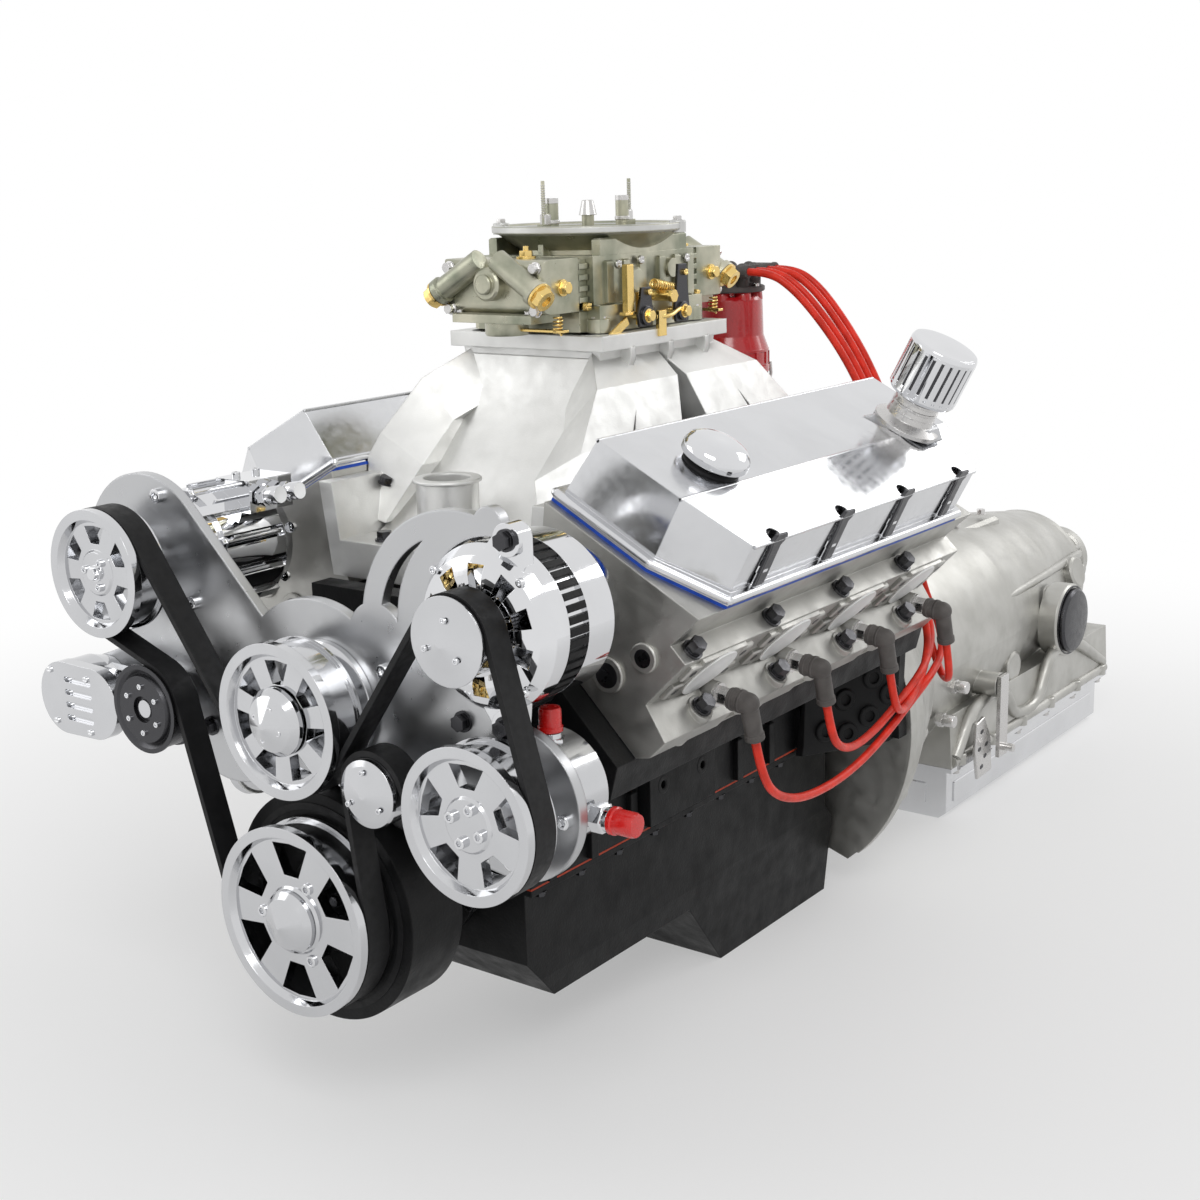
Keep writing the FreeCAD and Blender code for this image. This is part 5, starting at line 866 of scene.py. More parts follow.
def cover_slot_painted_shade():
    """Dark plates on the valve covers that paint the shade and dark reflection in the relieved pocket above
    each hold-down screw, flared at its top.
    """
    bm = bmesh.new()
    for y in COVER_WELL_YS:
        base = on_cover(COVER_WIDTH - 2.0, y, COVER_RAIL_TOP + 1)
        high = on_cover(COVER_WIDTH - 4.0, y, COVER_HEIGHT - 12)
        slope = (high - on_cover(COVER_WIDTH - 2.0, y, 3)).normalized()
        normal = slope.cross(BACK)
        if normal.dot(COVER_OUT) < 0:
            normal = -normal
        at = stand(base, normal, slope)
        side = at.inverted().to_3x3() @ BACK
        turn = 1 if side.y > 0 else -1
        outline = [(0, -8), (36, -8), (46, -11), (50, -6), (49, 12), (44, 15), (38, 8), (0, 8)]
        prism(bm, at, [(u, turn * v) for u, v in outline][::turn], -1.0, 0.9, 0.4)
        prism(bm, at, [(u, turn * v * 0.7) for u, v in outline][::turn], 0.2, 1.2, 0.2)
    to_both_banks(bm)
    # Painted shade: thin dark plates stand in for the shade and dark reflection inside each pocket.
    finish_piece("cover_slot_painted_shade", bm, "dark_steel")


def cover_screws():
    """Hold-down screws with spacers at the rails, outside and inside."""
    bm = bmesh.new()
    for y in COVER_WELL_YS:
        at = stand(on_cover(COVER_WIDTH - 7, y, COVER_RAIL_TOP), COVER_UP, BACK)
        lathe(bm, at, [(7.6, 0), (7.6, 1.6), (5.2, 1.8), (5.2, 12), (6.6, 12.2), (6.6, 17), (5.4, 18.4),
                       (0, 18.4)], 24, (4, 5))
    for y in COVER_WELL_YS[::2]:
        place = on_cover(9, y + 40, COVER_RAIL_TOP)
        socket_head(bm, place, COVER_UP, 5.5, 6)
    to_both_banks(bm)
    finish_piece("cover_screws", bm, "chrome")


def cover_rail_edge():
    """The round bead along each cover's rail, with a ball at every corner."""
    front = HEAD_FRONT_Y + 9.6
    rear = HEAD_REAR_Y - 9.6
    clip = 29.7
    height = 8.2
    outline = [(COVER_BEND, front), (COVER_WIDTH - 0.6, front + clip), (COVER_WIDTH - 0.6, rear - clip),
               (COVER_BEND, rear), (0.6, rear), (0.6, front), (COVER_BEND, front)]
    corners = [on_cover(a, y, height) for a, y in outline]
    bm = bmesh.new()
    for here, following in zip(corners[:-1], corners[1:]):
        pipe(bm, [here, following], 3.9, 16)
        lathe(bm, stand(here), [(0, -3.9), (2.7, -2.8), (3.9, 0), (2.7, 2.8), (0, 3.9)], 16)
    to_both_banks(bm)
    finish_piece("cover_rail_beads", bm, "cover_aluminium")


def weld_beads():
    """Ground seams where the folded sheets of each cover meet."""
    y0 = HEAD_FRONT_Y + 14
    y1 = HEAD_REAR_Y - 14
    bm = bmesh.new()
    for a, inset, height in ((16, 0, COVER_HEIGHT - 1), (COVER_BEND, 0, COVER_HEIGHT),
                             (COVER_WIDTH - 4, 32, COVER_HEIGHT - 12)):
        fold = [on_cover(a, y0 + inset, height), on_cover(a, y1 - inset, height)]
        pipe(bm, [p - COVER_UP * 1.3 for p in fold], 1.7, 10)
    to_both_banks(bm)
    finish_piece("cover_folds", bm, "cover_aluminium")


def breather():
    """The push-in breather: a domed chrome cap over its rubber grommet."""
    place = on_cover(*BREATHER, COVER_HEIGHT + 0.3)
    bm = bmesh.new()
    dome = [(0, 11), (19.8, 11), (19.8, 0), (20, 0), (20, 9.4), (26, 8.8), (27.4, 7.2), (29, 6.4), (30, 7.4),
            (30, 12)]
    for i in range(1, 10):
        angle = math.radians(10 * i)
        dome.append((30 * math.cos(angle) ** 0.55, 12 + 12 * math.sin(angle)))
    lathe(bm, stand(place, COVER_UP), dome + [(0, 24)], 72)
    cap = finish_piece("breather_dome", bm, "chrome", "cover_breather")
    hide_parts("breather_cap")
    bm = bmesh.new()
    lip = [(19, -1), (25, -0.6), (25.6, 1.2), (24, 3), (20.4, 3.6), (20.2, 3)]
    lathe(bm, stand(place, COVER_UP), lip, 48)
    finish_piece("breather_grommet", bm, "belt_rubber")


def filler_frame(above=0.0):
    """A frame on the filler's axis, at a height above the cover's top."""
    return stand(on_cover(*FILLER, COVER_HEIGHT + above), COVER_UP, COVER_OUT)


def filler_gusset():
    """The cast wedge that carries the filler neck, and the neck's clamp rings."""
    at = filler_frame()
    bm = bmesh.new()
    base = [(-30, -52), (12, -34), (34, -8), (34, 24), (8, 34), (-26, 30)]
    low = [at @ Vector((x, y, -1)) for x, y in base]
    high = [at @ Vector((x * 0.72, max(y * 0.72, -24), 12 if y > -30 else 1.0)) for x, y in base]
    ring_low = [bm.verts.new(p) for p in low]
    ring_high = [bm.verts.new(p) for p in high]
    join_rings(bm, ring_low, ring_high, len(base))
    bm.faces.new(ring_high)
    bm.faces.new(ring_low[::-1])
    bmesh.ops.bevel(bm, geom=bm.edges[:], offset=1.6, segments=2, affect="EDGES")
    finish_piece("filler_gusset", bm, "satin_plate")
    bm = bmesh.new()
    for height in (14, 21, 28):
        lathe(bm, at @ Matrix.Translation((0, 0, height)), [(21, 0), (23.4, 0.6), (23.4, 3), (21, 3.6)], 48)
    finish_piece("filler_neck_rings", bm, "machined_steel")


def filler_cap_top():
    """The flat lid with a raised rim, and dark strips painted as the shade in the grooves of the ribbed filler
    cap.
    """
    at = filler_frame(88.6)
    bm = bmesh.new()
    lathe(bm, at, [(33, -8), (33.9, -7), (33.9, -2.4), (32.6, -0.2), (29, -0.05), (28, -0.9), (0, -0.9)], 72)
    lathe(bm, at @ Matrix.Translation((0, 0, -48)), [(33.0, 0), (33.9, 0.6), (33.9, 3.4), (33.0, 4)], 72)
    finish_piece("filler_cap_lid", bm, "chrome", "oil_filler_cap")
    bm = bmesh.new()
    # Painted shade: dark strips stand in for the shade in each groove between the ribs.
    for i in range(24):
        turn = Matrix.Rotation(math.radians(15 * i), 4, "Z")
        slab(bm, filler_frame() @ turn, 32.2, 33.5, -1.25, 1.25, 41, 82, 0.2)
    finish_piece("filler_cap_groove_painted_shade", bm, "dark_steel", "oil_filler_cap")


# Intake

def intake_details():
    """Flange bolts, the brass plugs, the thermostat's flange and the bare pads."""
    bolts = bmesh.new()
    for i, y in enumerate(BORE_YS):
        for dy in (-28, 28):
            place = Vector((112, y + dy + (14 if i % 2 == 0 else -14), 322))
            hex_head(bolts, place, (-0.34, 0, 0.94), 13, 7)
    to_both_banks(bolts)
    for x in (-33, 33):
        hex_head(bolts, (x, 58, 289), UP, 12, 7)
    finish_piece("intake_flange_bolts", bolts, "dark_steel")
    plugs = bmesh.new()
    for x, y in ((-62, 74), (48, 70), (96, 96)):
        at = stand((x, y, 279), UP)
        lathe(plugs, at, [(9, 0), (9, 3), (6.4, 3.2), (6.4, 9), (5.4, 10), (0, 10)], 24, (2, 3))
    finish_piece("intake_plugs", plugs, "brass")
    pads = bmesh.new()
    lathe(pads, stand((0, 58, 340.5), UP), [(28, -2), (31, -1), (31, 1), (30, 2), (21.4, 2), (21.4, -4)], 56)
    slab(pads, stand((82, 330, 424), LEFT, BACK), -34, 34, -10, 10, -2, 1.6, 0.8)
    slab(pads, stand((84, 330, 424), LEFT, BACK), -30, 30, -7, 7, -1, 0.6, 0.4)
    for dx in (-58, 58):
        lathe(pads, stand((dx, 58, 276), UP), [(14, 0), (13, 5), (0, 5)], 28)
    finish_piece("intake_pads", pads, "cast_aluminium", finish="pale_casting")


def front_web():
    """The cast wall that falls from the plenum to the water passage, between the front runners."""
    rows = ((181.5, 438, 72, 0), (178, 408, 76, 4), (164, 376, 80, 9), (142, 348, 84, 10), (120, 322, 94, 8),
            (102, 299, 103, 5), (88, 283, 108, 2), (78, 276.5, 110, 0))
    web = bmesh.new()
    rings = []
    for y, z, half, bulge in rows:
        across = [i / 6.0 for i in range(-6, 7)]
        fore = [web.verts.new((half * t, y - bulge * (1 - t * t), z)) for t in across]
        aft = [web.verts.new((half * t, y + 7, z - 5)) for t in reversed(across)]
        rings.append(fore + aft)
    for a, b in zip(rings, rings[1:]):
        join_rings(web, a, b, len(a))
    web.faces.new(rings[0][::-1])
    web.faces.new(rings[-1])
    finish_piece("intake_front_web", web, "cast_aluminium", finish="pale_casting")


def plenum_ribs():
    """Cast ribs between the runners, under the carburettor flange."""
    bm = bmesh.new()
    for y in (CARB_Y - 62, CARB_Y, CARB_Y + 62):
        outline = [(-2, 0), (14, 0), (14, -10), (-2, -46)]
        at = stand((78, y + 3, 446), BACK, LEFT)
        prism(bm, at, [(x, -z) for x, z in outline][::-1], -3, 3, 1)
    for side in (-1, 1):
        for dy in (-96, 96):
            place = Vector((side * 62, CARB_Y + dy * 0.92, 446))
            lathe(bm, stand(place, UP), [(11, -2), (11, 12), (10, 13.4), (0, 13.4)], 24)
    mirrored(bm)
    finish_piece("plenum_ribs", bm, "cast_aluminium", finish="pale_casting")


# Carburettor

def air_horn_screws(z):
    """The places of the two screws in the air horn's rim, at a height."""
    reach = 88.0
    turns = [math.radians(degrees) for degrees in (70, 250)]
    return [Vector((reach * math.sin(turn), CARB_Y + reach * math.cos(turn), z)) for turn in turns]


def air_horn():
    """The pale rounded rim of the air horn, with the bosses of its two screws."""
    top = CARB_TOP_Z + 6
    bm = bmesh.new()
    rim = [(80, -2.9), (84.4, 0.1), (85, 0.3), (91, 0.3), (92.2, -0.8), (92.2, -5.4), (91, -6.6), (86, -8.0)]
    lathe(bm, stand((0, CARB_Y, top), UP), rim, 128)
    for place in air_horn_screws(top):
        lathe(bm, stand(place, UP), [(8, -9), (8, 1.2), (7, 2), (0, 2)], 28)
    finish_piece("air_horn_ring", bm, "cast_aluminium")


def vent_towers():
    """The fittings of the two vent towers, their threaded rods and the middle stud's nut."""
    bm = bmesh.new()
    for side in (-1, 1):
        y = CARB_Y + side * 56
        lathe(bm, stand((0, y, 556), UP), [(6.4, 0), (7.4, 0.8), (7.4, 3.4), (6.4, 4.2)], 28)
        cap = [(5.4, -5), (6.6, -4.4), (6.6, 0.4), (3.6, 0.4), (3.6, -3), (0, -3)]
        lathe(bm, stand((0, y, 579.3), UP), cap, 28)
        slab(bm, stand((0, y + side * 9, 556), UP), -3.6, 3.6, -4, 4, 0, 10, 1)
        for i in range(14):
            lathe(bm, stand((0, y + side * 12, 562 + 2.2 * i), UP), [(1.7, 0), (2.3, 0.6), (1.7, 1.2)], 12)
    lathe(bm, stand((0, CARB_Y, 562.4), UP), [(5.8, 0), (8.6, 0.4), (5.6, 13.6), (4.6, 14.3), (0, 14.3)], 32)
    finish_piece("vent_towers", bm, "machined_steel")


def venturis():
    """Booster rings hung in the four barrels."""
    bm = bmesh.new()
    for x in (-29, 29):
        for dy in (-30, 30):
            at = stand((x, CARB_Y + dy, 520), UP)
            lathe(bm, at, [(7.6, 0), (8.4, 7), (10.6, 15), (9.6, 15), (6.6, 6), (6.4, 0), (7.6, 0)], 28)
            near = 8 if x > 0 else -22
            slab(bm, at @ Matrix.Translation((0, 0, 6)), near, near + 14, -3, 3, 0, 4, 0.5)
    finish_piece("venturi_boosters", bm, "brass")


def bowl_inlets(side):
    """The start and end of the two slanting fuel inlets on the face of one bowl."""
    face = BOWL_FACES[side]
    return [(Vector((x * 10, face + side * 4, 528)), Vector((x * 54, face + side * 7, 501))) for x in (-1, 1)]


def bowl_castings(side, label):
    """The bosses on one bowl's face, its pump housing and the ribs of its meter block."""
    face = BOWL_FACES[side]
    pump_y = face - side * BOWL_PUMP_INSET
    out = BACK * side
    bm = bmesh.new()
    lathe(bm, stand((0, face, 507), out), [(15, -2), (15, 9), (13, 11), (0, 11)], 36)
    lathe(bm, stand((0, face + side * 9, 507), out), [(9, 0), (9, 5), (7.6, 6), (0, 6)], 28)
    for start, end in bowl_inlets(side):
        pipe(bm, [start, end], 10.5, 28)
        lathe(bm, stand(end, end - start), [(10.5, -3), (12.6, -2), (12.6, 4), (11.4, 5), (0, 5)], 28)
    for x in (-30, 30):
        lathe(bm, stand((x, face + side, 514), out), [(8, 0), (7, 4), (0, 5)], 20)
    slab(bm, stand((0, pump_y, 472), UP), -46, 46, -22, 20, 0, 9, 1.6)
    lathe(bm, stand((0, pump_y, 460), UP), [(19, 0), (20, 2), (20, 12), (18, 14)], 36)
    for z in (490, 500, 510, 520):
        at = stand((58, CARB_Y + side * METER_BLOCK_REACH, z), LEFT, BACK)
        slab(bm, at, -6.4, 6.4, -2.8, 2.8, -1, 3, 0.8)
    finish_piece(f"{label}_bowl_bosses", bm, "carb_zinc")


def bowl_brass(side, label):
    """The inlet nuts, the pump's lever and spring, the sight plug and the float's screw of one bowl."""
    face = BOWL_FACES[side]
    pump_y = face - side * BOWL_PUMP_INSET
    bm = bmesh.new()
    nut = [(12.4, 0), (12.4, 2.4), (11, 2.6), (11, 9), (9.6, 10.4), (5, 10.4), (5, 8), (0, 8)]
    for start, end in bowl_inlets(side):
        way = (end - start).normalized()
        lathe(bm, stand(end + way * 5, way), nut, 24, (2, 3))
    slab(bm, stand((34, pump_y, 464), UP, (1, 0, -0.16)), -30, 34, -4, 4, 0, 2.4, 0.4)
    coil(bm, (58, pump_y, 462), (0.1, 0, 1), 4, 16, 5, 0.9)
    sight_plug = [(7.6, 0), (7.6, 2), (6.2, 2.2), (6.2, 7), (5, 8), (0, 8)]
    lathe(bm, stand((60, face - side * 24, 503), LEFT), sight_plug, 24, (2, 3))
    float_screw = [(9, 0), (9, 3), (6.4, 3.2), (6.4, 8), (2.6, 8.4), (2.6, 12), (0, 12)]
    lathe(bm, stand((22, face - side * 22, 527.4), UP), float_screw, 24, (2, 3))
    slotted_head(bm, (61, CARB_Y + side * METER_BLOCK_REACH, 484), LEFT, 4, 5)
    finish_piece(f"{label}_bowl_brass", bm, "brass")


def bowl_screws(side, label):
    """The bolts in one bowl's face and the screws of its pump housing."""
    face = BOWL_FACES[side]
    pump_y = face - side * BOWL_PUMP_INSET
    bm = bmesh.new()
    for x in (-50, 50):
        for z in (484, 521):
            hex_head(bm, (x, face, z), BACK * side, 10, 6)
    for x in (-40, 40):
        for dy in (-18, 16):
            slotted_head(bm, (x, pump_y + dy, 481), UP, 3.4, 2.4)
    finish_piece(f"{label}_bowl_screws", bm, "machined_steel")


def fuel_bowls():
    for side, label in ((-1, "front"), (1, "rear")):
        bowl_castings(side, label)
        bowl_brass(side, label)
        bowl_screws(side, label)


def carb_castings():
    """The ribs, bosses and end walls of the carburettor's body, and the bosses of its studs."""
    bm = bmesh.new()
    for dy in (-60, -34, -8, 24, 50, 72):
        for x, x0, x1 in ((66, -3, 3.4), (-66, -3.4, 3)):
            slab(bm, stand((x, CARB_Y + dy, 486), UP), x0, x1, -5, 5, 0, 38, 1.5)
    for x0, x1 in ((56, 65.6), (-65.6, -56)):
        slab(bm, stand((0, CARB_Y, 526), UP), x0, x1, -70, 70, 0, 18, 1.5)
    lathe(bm, stand((66, CARB_Y - 22, 504), LEFT), [(12, -2), (12, 5), (10, 7), (0, 7)], 28)
    lathe(bm, stand((66, CARB_Y + 38, 512), LEFT), [(9, -2), (9, 6), (0, 6)], 24)
    for dy in (-90, 90):
        slab(bm, stand((0, CARB_Y + dy, 461), UP), -60, 60, -6, 6, 0, 20, 1.6)
    for x, dy in CARB_STUDS:
        lathe(bm, stand((x, CARB_Y + dy, 484), UP), [(11, -24), (11, -12), (9.6, -11), (4, -11)], 24)
    finish_piece("carb_side_castings", bm, "carb_zinc")


def carb_linkage():
    """The gold brackets, link, pivot and return spring on the left side."""
    bm = bmesh.new()
    slab(bm, stand((80, CARB_Y - 48, 476), UP), -3, 3, -5, 5, 0, 44, 0.8)
    slab(bm, stand((80, CARB_Y - 34, 474), UP), -3, 4, -24, 10, 0, 3, 0.5)
    slab(bm, stand((90, CARB_Y - 10, 452), UP), -2, 2, -6, 6, 0, 24, 0.6)
    link = [(88, CARB_Y - 16, 470), (92, CARB_Y, 470), (90, CARB_Y + 18, 474), (86, CARB_Y + 32, 476)]
    pipe(bm, smooth_path(link), 2.2, 12)
    slab(bm, stand((80, CARB_Y - 66, 462), LEFT, (0, 1, 0.5)), -16, 16, -4, 4, 0, 2.4, 0.4)
    pivot = [(5, -20), (5, 4), (6.5, 4.2), (6.5, 8), (0, 8)]
    lathe(bm, stand((88, CARB_Y + 4, 488), LEFT), pivot, 20, (2, 3))
    coil(bm, (78, CARB_Y - 6, 500), (0, 1, -0.2), 4.2, 34, 9, 1.0)
    finish_piece("carb_linkage", bm, "brass")


def carb_screws():
    """The nuts on the carburettor's studs, the screws in its left side and those of the air horn."""
    bm = bmesh.new()
    for x, dy in CARB_STUDS:
        dome_nut(bm, (x, CARB_Y + dy, 473), UP, 6.4)
    for dy, z in ((-50, 520), (-14, 522), (16, 496), (62, 520)):
        slotted_head(bm, (69.4, CARB_Y + dy, z), LEFT, 4, 3)
    for place in air_horn_screws(CARB_TOP_Z + 8):
        hex_head(bm, place, UP, 9, 4)
    finish_piece("carb_screws", bm, "machined_steel")


def throttle_levers():
    """The black levers on the two throttle shafts, with their nuts, which turn with them."""
    z = CARB_BASE_Z + 13.2
    for name, dy, high in (("primary", -30, 26), ("secondary", 30, 44)):
        at = stand((84.4, CARB_Y + dy, z), LEFT, BACK)
        bm = bmesh.new()
        prism(bm, at, [(-10, -10), (10, -10), (12.4, 2), (9, high * 0.6), (8, high), (-6, high),
                       (-8, high * 0.6), (-12.4, 2)], 0, 3, 0.5)
        lathe(bm, at, [(9, 0), (9, 5), (7.6, 5.6), (0, 5.6)], 28)
        finish_piece(f"{name}_throttle_lever", bm, "dark_steel", f"{name}_throttle")
        bm = bmesh.new()
        hex_head(bm, at @ Vector((0, 0, 5.4)), LEFT, 11, 5)
        slotted_head(bm, at @ Vector((3, high * 0.82, 3)), LEFT, 3, 3)
        finish_piece(f"{name}_throttle_nut", bm, "brass", f"{name}_throttle")


# Distributor

def on_ring(radius, degrees, z):
    """A point at a radius and angle round the distributor's axis."""
    angle = math.radians(degrees)
    return Vector((radius * math.cos(angle), DISTRIBUTOR_Y + radius * math.sin(angle), z))


def terminal_seats(z):
    """The places of the eight wire terminals on the cap, at a height."""
    return [on_ring(TERMINAL_RING, 22.5 + 45 * i, z) for i in range(8)]


def distributor_cap_ribs():
    """The cap's two waist bands, its ribs and the sockets of its terminals."""
    bm = bmesh.new()
    at = stand((0, DISTRIBUTOR_Y, 0), UP)
    lathe(bm, at, [(44.8, 388.6), (46.4, 389.4), (46.4, 396), (44.8, 397)], 72)
    lathe(bm, at, [(44.6, 410), (45.8, 411), (45.8, 413.4), (44.2, 415)], 72)
    for i in range(16):
        place = on_ring(44.4, 22.5 * i + 11.25, 398)
        slab(bm, stand(place, UP, place - Vector((0, DISTRIBUTOR_Y, 398))), -1, 1.8, -2.2, 2.2, 0, 13, 0.4)
    for place in terminal_seats(466):
        lathe(bm, stand(place, UP), [(9.6, 0), (9.0, 8), (8.4, 9), (5.2, 9)], 24)
    finish_piece("distributor_cap_ribs", bm, "cap_red")


def wire_retainer():
    """The grey ring that holds the wires on the cap, with its eight pegs."""
    z = 474.5
    bm = bmesh.new()
    ring = [(20, 0), (40.5, 0), (41.5, 1.2), (41.5, 5), (40, 6), (20, 6), (20, 0)]
    lathe(bm, stand((0, DISTRIBUTOR_Y, z), UP), ring, 72)
    for i in range(8):
        lathe(bm, stand(on_ring(TERMINAL_RING, 45 * i, z), UP), [(5, 0), (5, 9), (4, 10), (0, 10)], 16)
    finish_piece("wire_retainer", bm, "boot_rubber")


def distributor_screws():
    """The retainer's screws, the cap's screws with their clips, and the clamp's bolt."""
    bm = bmesh.new()
    for degrees in (0, 90, 180, 270):
        slotted_head(bm, on_ring(38, degrees, 480.4), UP, 3, 3)
    for degrees in (35, 215):
        slotted_head(bm, on_ring(41, degrees, 384), UP, 4, 4)
        clip = [(45.6, 372), (48, 386), (47, 398)]
        pipe(bm, [on_ring(radius, degrees, z) for radius, z in clip], 1.8, 10)
    hex_head(bm, (30, DISTRIBUTOR_Y - 22, 292), UP, 13, 7)
    finish_piece("distributor_screws", bm, "machined_steel")


def terminal_boot_lips():
    """The lip of each terminal boot where its wire goes in, and the one on its socket."""
    bm = bmesh.new()
    for seat in terminal_seats(WIRE_END[1]):
        side = 1 if seat.x > 0 else -1
        start = (side * (WIRE_END[0] - 5), seat.y, seat.z)
        lathe(bm, stand(start, LEFT * side), [(6.5, 0), (7.2, 0.6), (7.2, 4), (6.4, 5), (4.1, 5)], 24)
        lathe(bm, stand((seat.x, seat.y, 471), UP), [(7.5, 0), (8.4, 0.5), (8.4, 3), (7.5, 3.6)], 24)
    finish_piece("terminal_boot_lips", bm, "boot_rubber")


# Block, timing cover and pans

def block_details():
    """Ribs, bosses, core plugs and the flare towards the bell, on both sides of the block."""
    black = bmesh.new()
    for i in range(9):
        slab(black, stand((126, 24 + 61.5 * i, 2), UP), 0, 7, -5, 5, 0, 44, 2)
    for y in BORE_YS:
        corner = Vector((139, y, 61))
        slope = (on_bank(66, y, 248.9) - corner).normalized()
        at = stand(corner + slope * 30, (slope.z, 0, -slope.x), BACK)
        lathe(black, at, [(26, -3), (26, 2), (24, 3), (21, 3), (20, 0.6), (0, 0.2)], 40)
        slab(black, at @ Matrix.Translation((61, 0, 0)), -5, 5, -24, 30, -2, 3, 1.6)
    add_flare(black)
    for y in (182, 248):
        lathe(black, stand((141, y, 44), LEFT), [(9, 0), (9, 1.2), (5, 1.2), (4.4, 0.4)], 24)
    pipe(black, [(120, 6, 128), (120, 549, 128)], 5, 16)
    mirrored(black)
    finish_piece("block_bosses", black, "block_black")


def add_flare(black):
    """The left side's flare towards the bell, with the bosses and the bead on it."""
    narrow = [(130, -6), (138, -6), (140, 6), (141, 40), (142, 62), (139, 61)]
    wide = [(130, -6), (191, -6), (201, 5), (202, 60), (204, 112), (139, 61)]
    flare = [[black.verts.new((x, y, z)) for x, z in outline]
             for y, outline in ((446, narrow), (540, wide), (553, wide))]
    join_rings(black, flare[0], flare[1], 6)
    join_rings(black, flare[1], flare[2], 6)
    black.faces.new(flare[0][::-1])
    black.faces.new(flare[2])
    for along, z in ((0.22, 20), (0.42, 52), (0.45, 14), (0.68, 30), (0.72, 72), (0.9, 52)):
        at = stand((140 + 61 * along, 446 + 94 * along, z), (0.86, -0.51, 0), UP)
        lathe(black, at, [(12, -8), (12, 3), (10.6, 4.4), (6.4, 4.4), (6, 1), (0, 1)], 28)
    pipe(black, [(141, 450, 61), (203, 546, 113)], 5, 14)


def pan_details():
    """Rail bolts and the drain plug of the oil pan."""
    bolts = bmesh.new()
    for i in range(9):
        hex_head(bolts, (122, 18 + 58 * i, -8), -UP, 10, 5)
    mirrored(bolts)
    finish_piece("pan_bolts", bolts, "dark_steel")
    plug = bmesh.new()
    hex_head(plug, (0, 546.5, -180), BACK, 20, 9)
    finish_piece("drain_plug", plug, "dark_steel")


def timing_cover_details():
    """The bolts round the timing cover and down its sides."""
    bm = bmesh.new()
    for degrees in (-70, -40, 0, 40, 70):
        hex_head(bm, on_axis((0, 130.9), 78, degrees, -5), FRONT, 10, 5)
    for x, z in ((-66, 30), (66, 30), (-62, -28), (62, -28), (-72, 80), (72, 80)):
        hex_head(bm, (x, -5, z), FRONT, 10, 5)
    finish_piece("timing_cover_bolts", bm, "dark_steel")


# Transmission

def bell_details():
    """Bolt bosses round the bell, its ribs, and the thin plate between bell and block."""
    cast = bmesh.new()
    steel = bmesh.new()
    for degrees in (-112, -78, -42, 0, 42, 78, 112):
        place = on_axis(CRANK, 196, degrees, BELL_FACE_Y + 15)
        lathe(cast, stand(place, BACK), [(15, -14), (15, 8), (13, 10), (0, 10)], 28)
        hex_head(steel, place + BACK * 10, BACK, 16, 9)
        reach = on_axis(CRANK, 150, degrees, 730)
        pipe(cast, [place + BACK * 4, place + (reach - place) * 0.5, reach], 7, 12)
    finish_piece("bell_bosses", cast, "trans_cast")
    finish_piece("bell_bolts", steel, "machined_steel")
    plate = bmesh.new()
    at = stand((0, BELL_FACE_Y + 0.2, 0), BACK, LEFT)
    outer = [on_axis(CRANK, 209 if abs(degrees - 180) > 36 else 188, degrees, BELL_FACE_Y)
             for degrees in range(88, 273, 4)]
    inner = [on_axis(CRANK, 64, degrees, BELL_FACE_Y) for degrees in range(272, 87, -4)]
    local = [at.inverted() @ point for point in outer + inner]
    prism(plate, at, [(p.x, p.y) for p in local], 0, 0.1, 0.0)
    finish_piece("bell_dust_plate", plate, "trans_cast")


def case_ribs():
    """The ribs and pan rails along the case, and the pads and bosses on its sides and top."""
    bm = bmesh.new()
    for side in (-1, 1):
        upper = [(122, 745, 43), (121, 930, 45), (114, 1120, 48), (92, 1325, 43)]
        pipe(bm, smooth_path([(side * x, y, z) for x, y, z in upper]), 6, 12)
        rail_ends = (TRANS_PAN_YS[0] + 6, TRANS_PAN_YS[1] - 8)
        pipe(bm, [(side * 137, y, -121) for y in rail_ends], 7.5, 16)
        web = [(143, 822, -116), (146, 868, -66), (147, 948, -60), (144, 1000, -104), (145, 1068, -104),
               (148, 1112, -50), (146, 1200, -56), (140, 1318, -112)]
        pipe(bm, smooth_path([(side * x * 0.97, y, z) for x, y, z in web], 4), 8, 14)
        for i in range(6):
            at = stand((side * 138, 836 + 94 * i, -128), UP)
            lathe(bm, at, [(9, 0), (9, 13), (7.6, 14.4), (0, 14.4)], 20)
    lathe(bm, stand(SERVO, LEFT), [(50, -24), (50, 0), (47, 3), (0, 3)], 64)
    lathe(bm, stand((118, 1010, -46), LEFT), [(22, -12), (21, 14), (18, 16), (0, 16)], 32)
    lathe(bm, stand((100, 1262, 26), (1, 0, 0.3)), [(24, -14), (23, 16), (20, 19), (0, 19)], 36)
    slab(bm, stand((0, 1080, 122), UP), -44, 44, -70, 70, -14, 3, 5)
    lathe(bm, stand((60, 800, 110), (0.5, 0, 0.86)), [(24, -12), (23, 10), (20, 12), (0, 12)], 32)
    finish_piece("case_ribs", bm, "trans_cast")


def servo_cover():
    """The dark domed cover of the servo, with its retaining ring."""
    bm = bmesh.new()
    dome = [(44, 0), (44, 5), (41, 8), (30, 9.4), (12, 10), (0, 10)]
    lathe(bm, stand(SERVO + LEFT * 3, LEFT), dome, 64)
    lathe(bm, stand(SERVO + LEFT * 2, LEFT), [(47.5, 0), (47.5, 2.4), (45.6, 2.4), (45.6, 0)], 64)
    finish_piece("servo_cover", bm, "dark_steel")


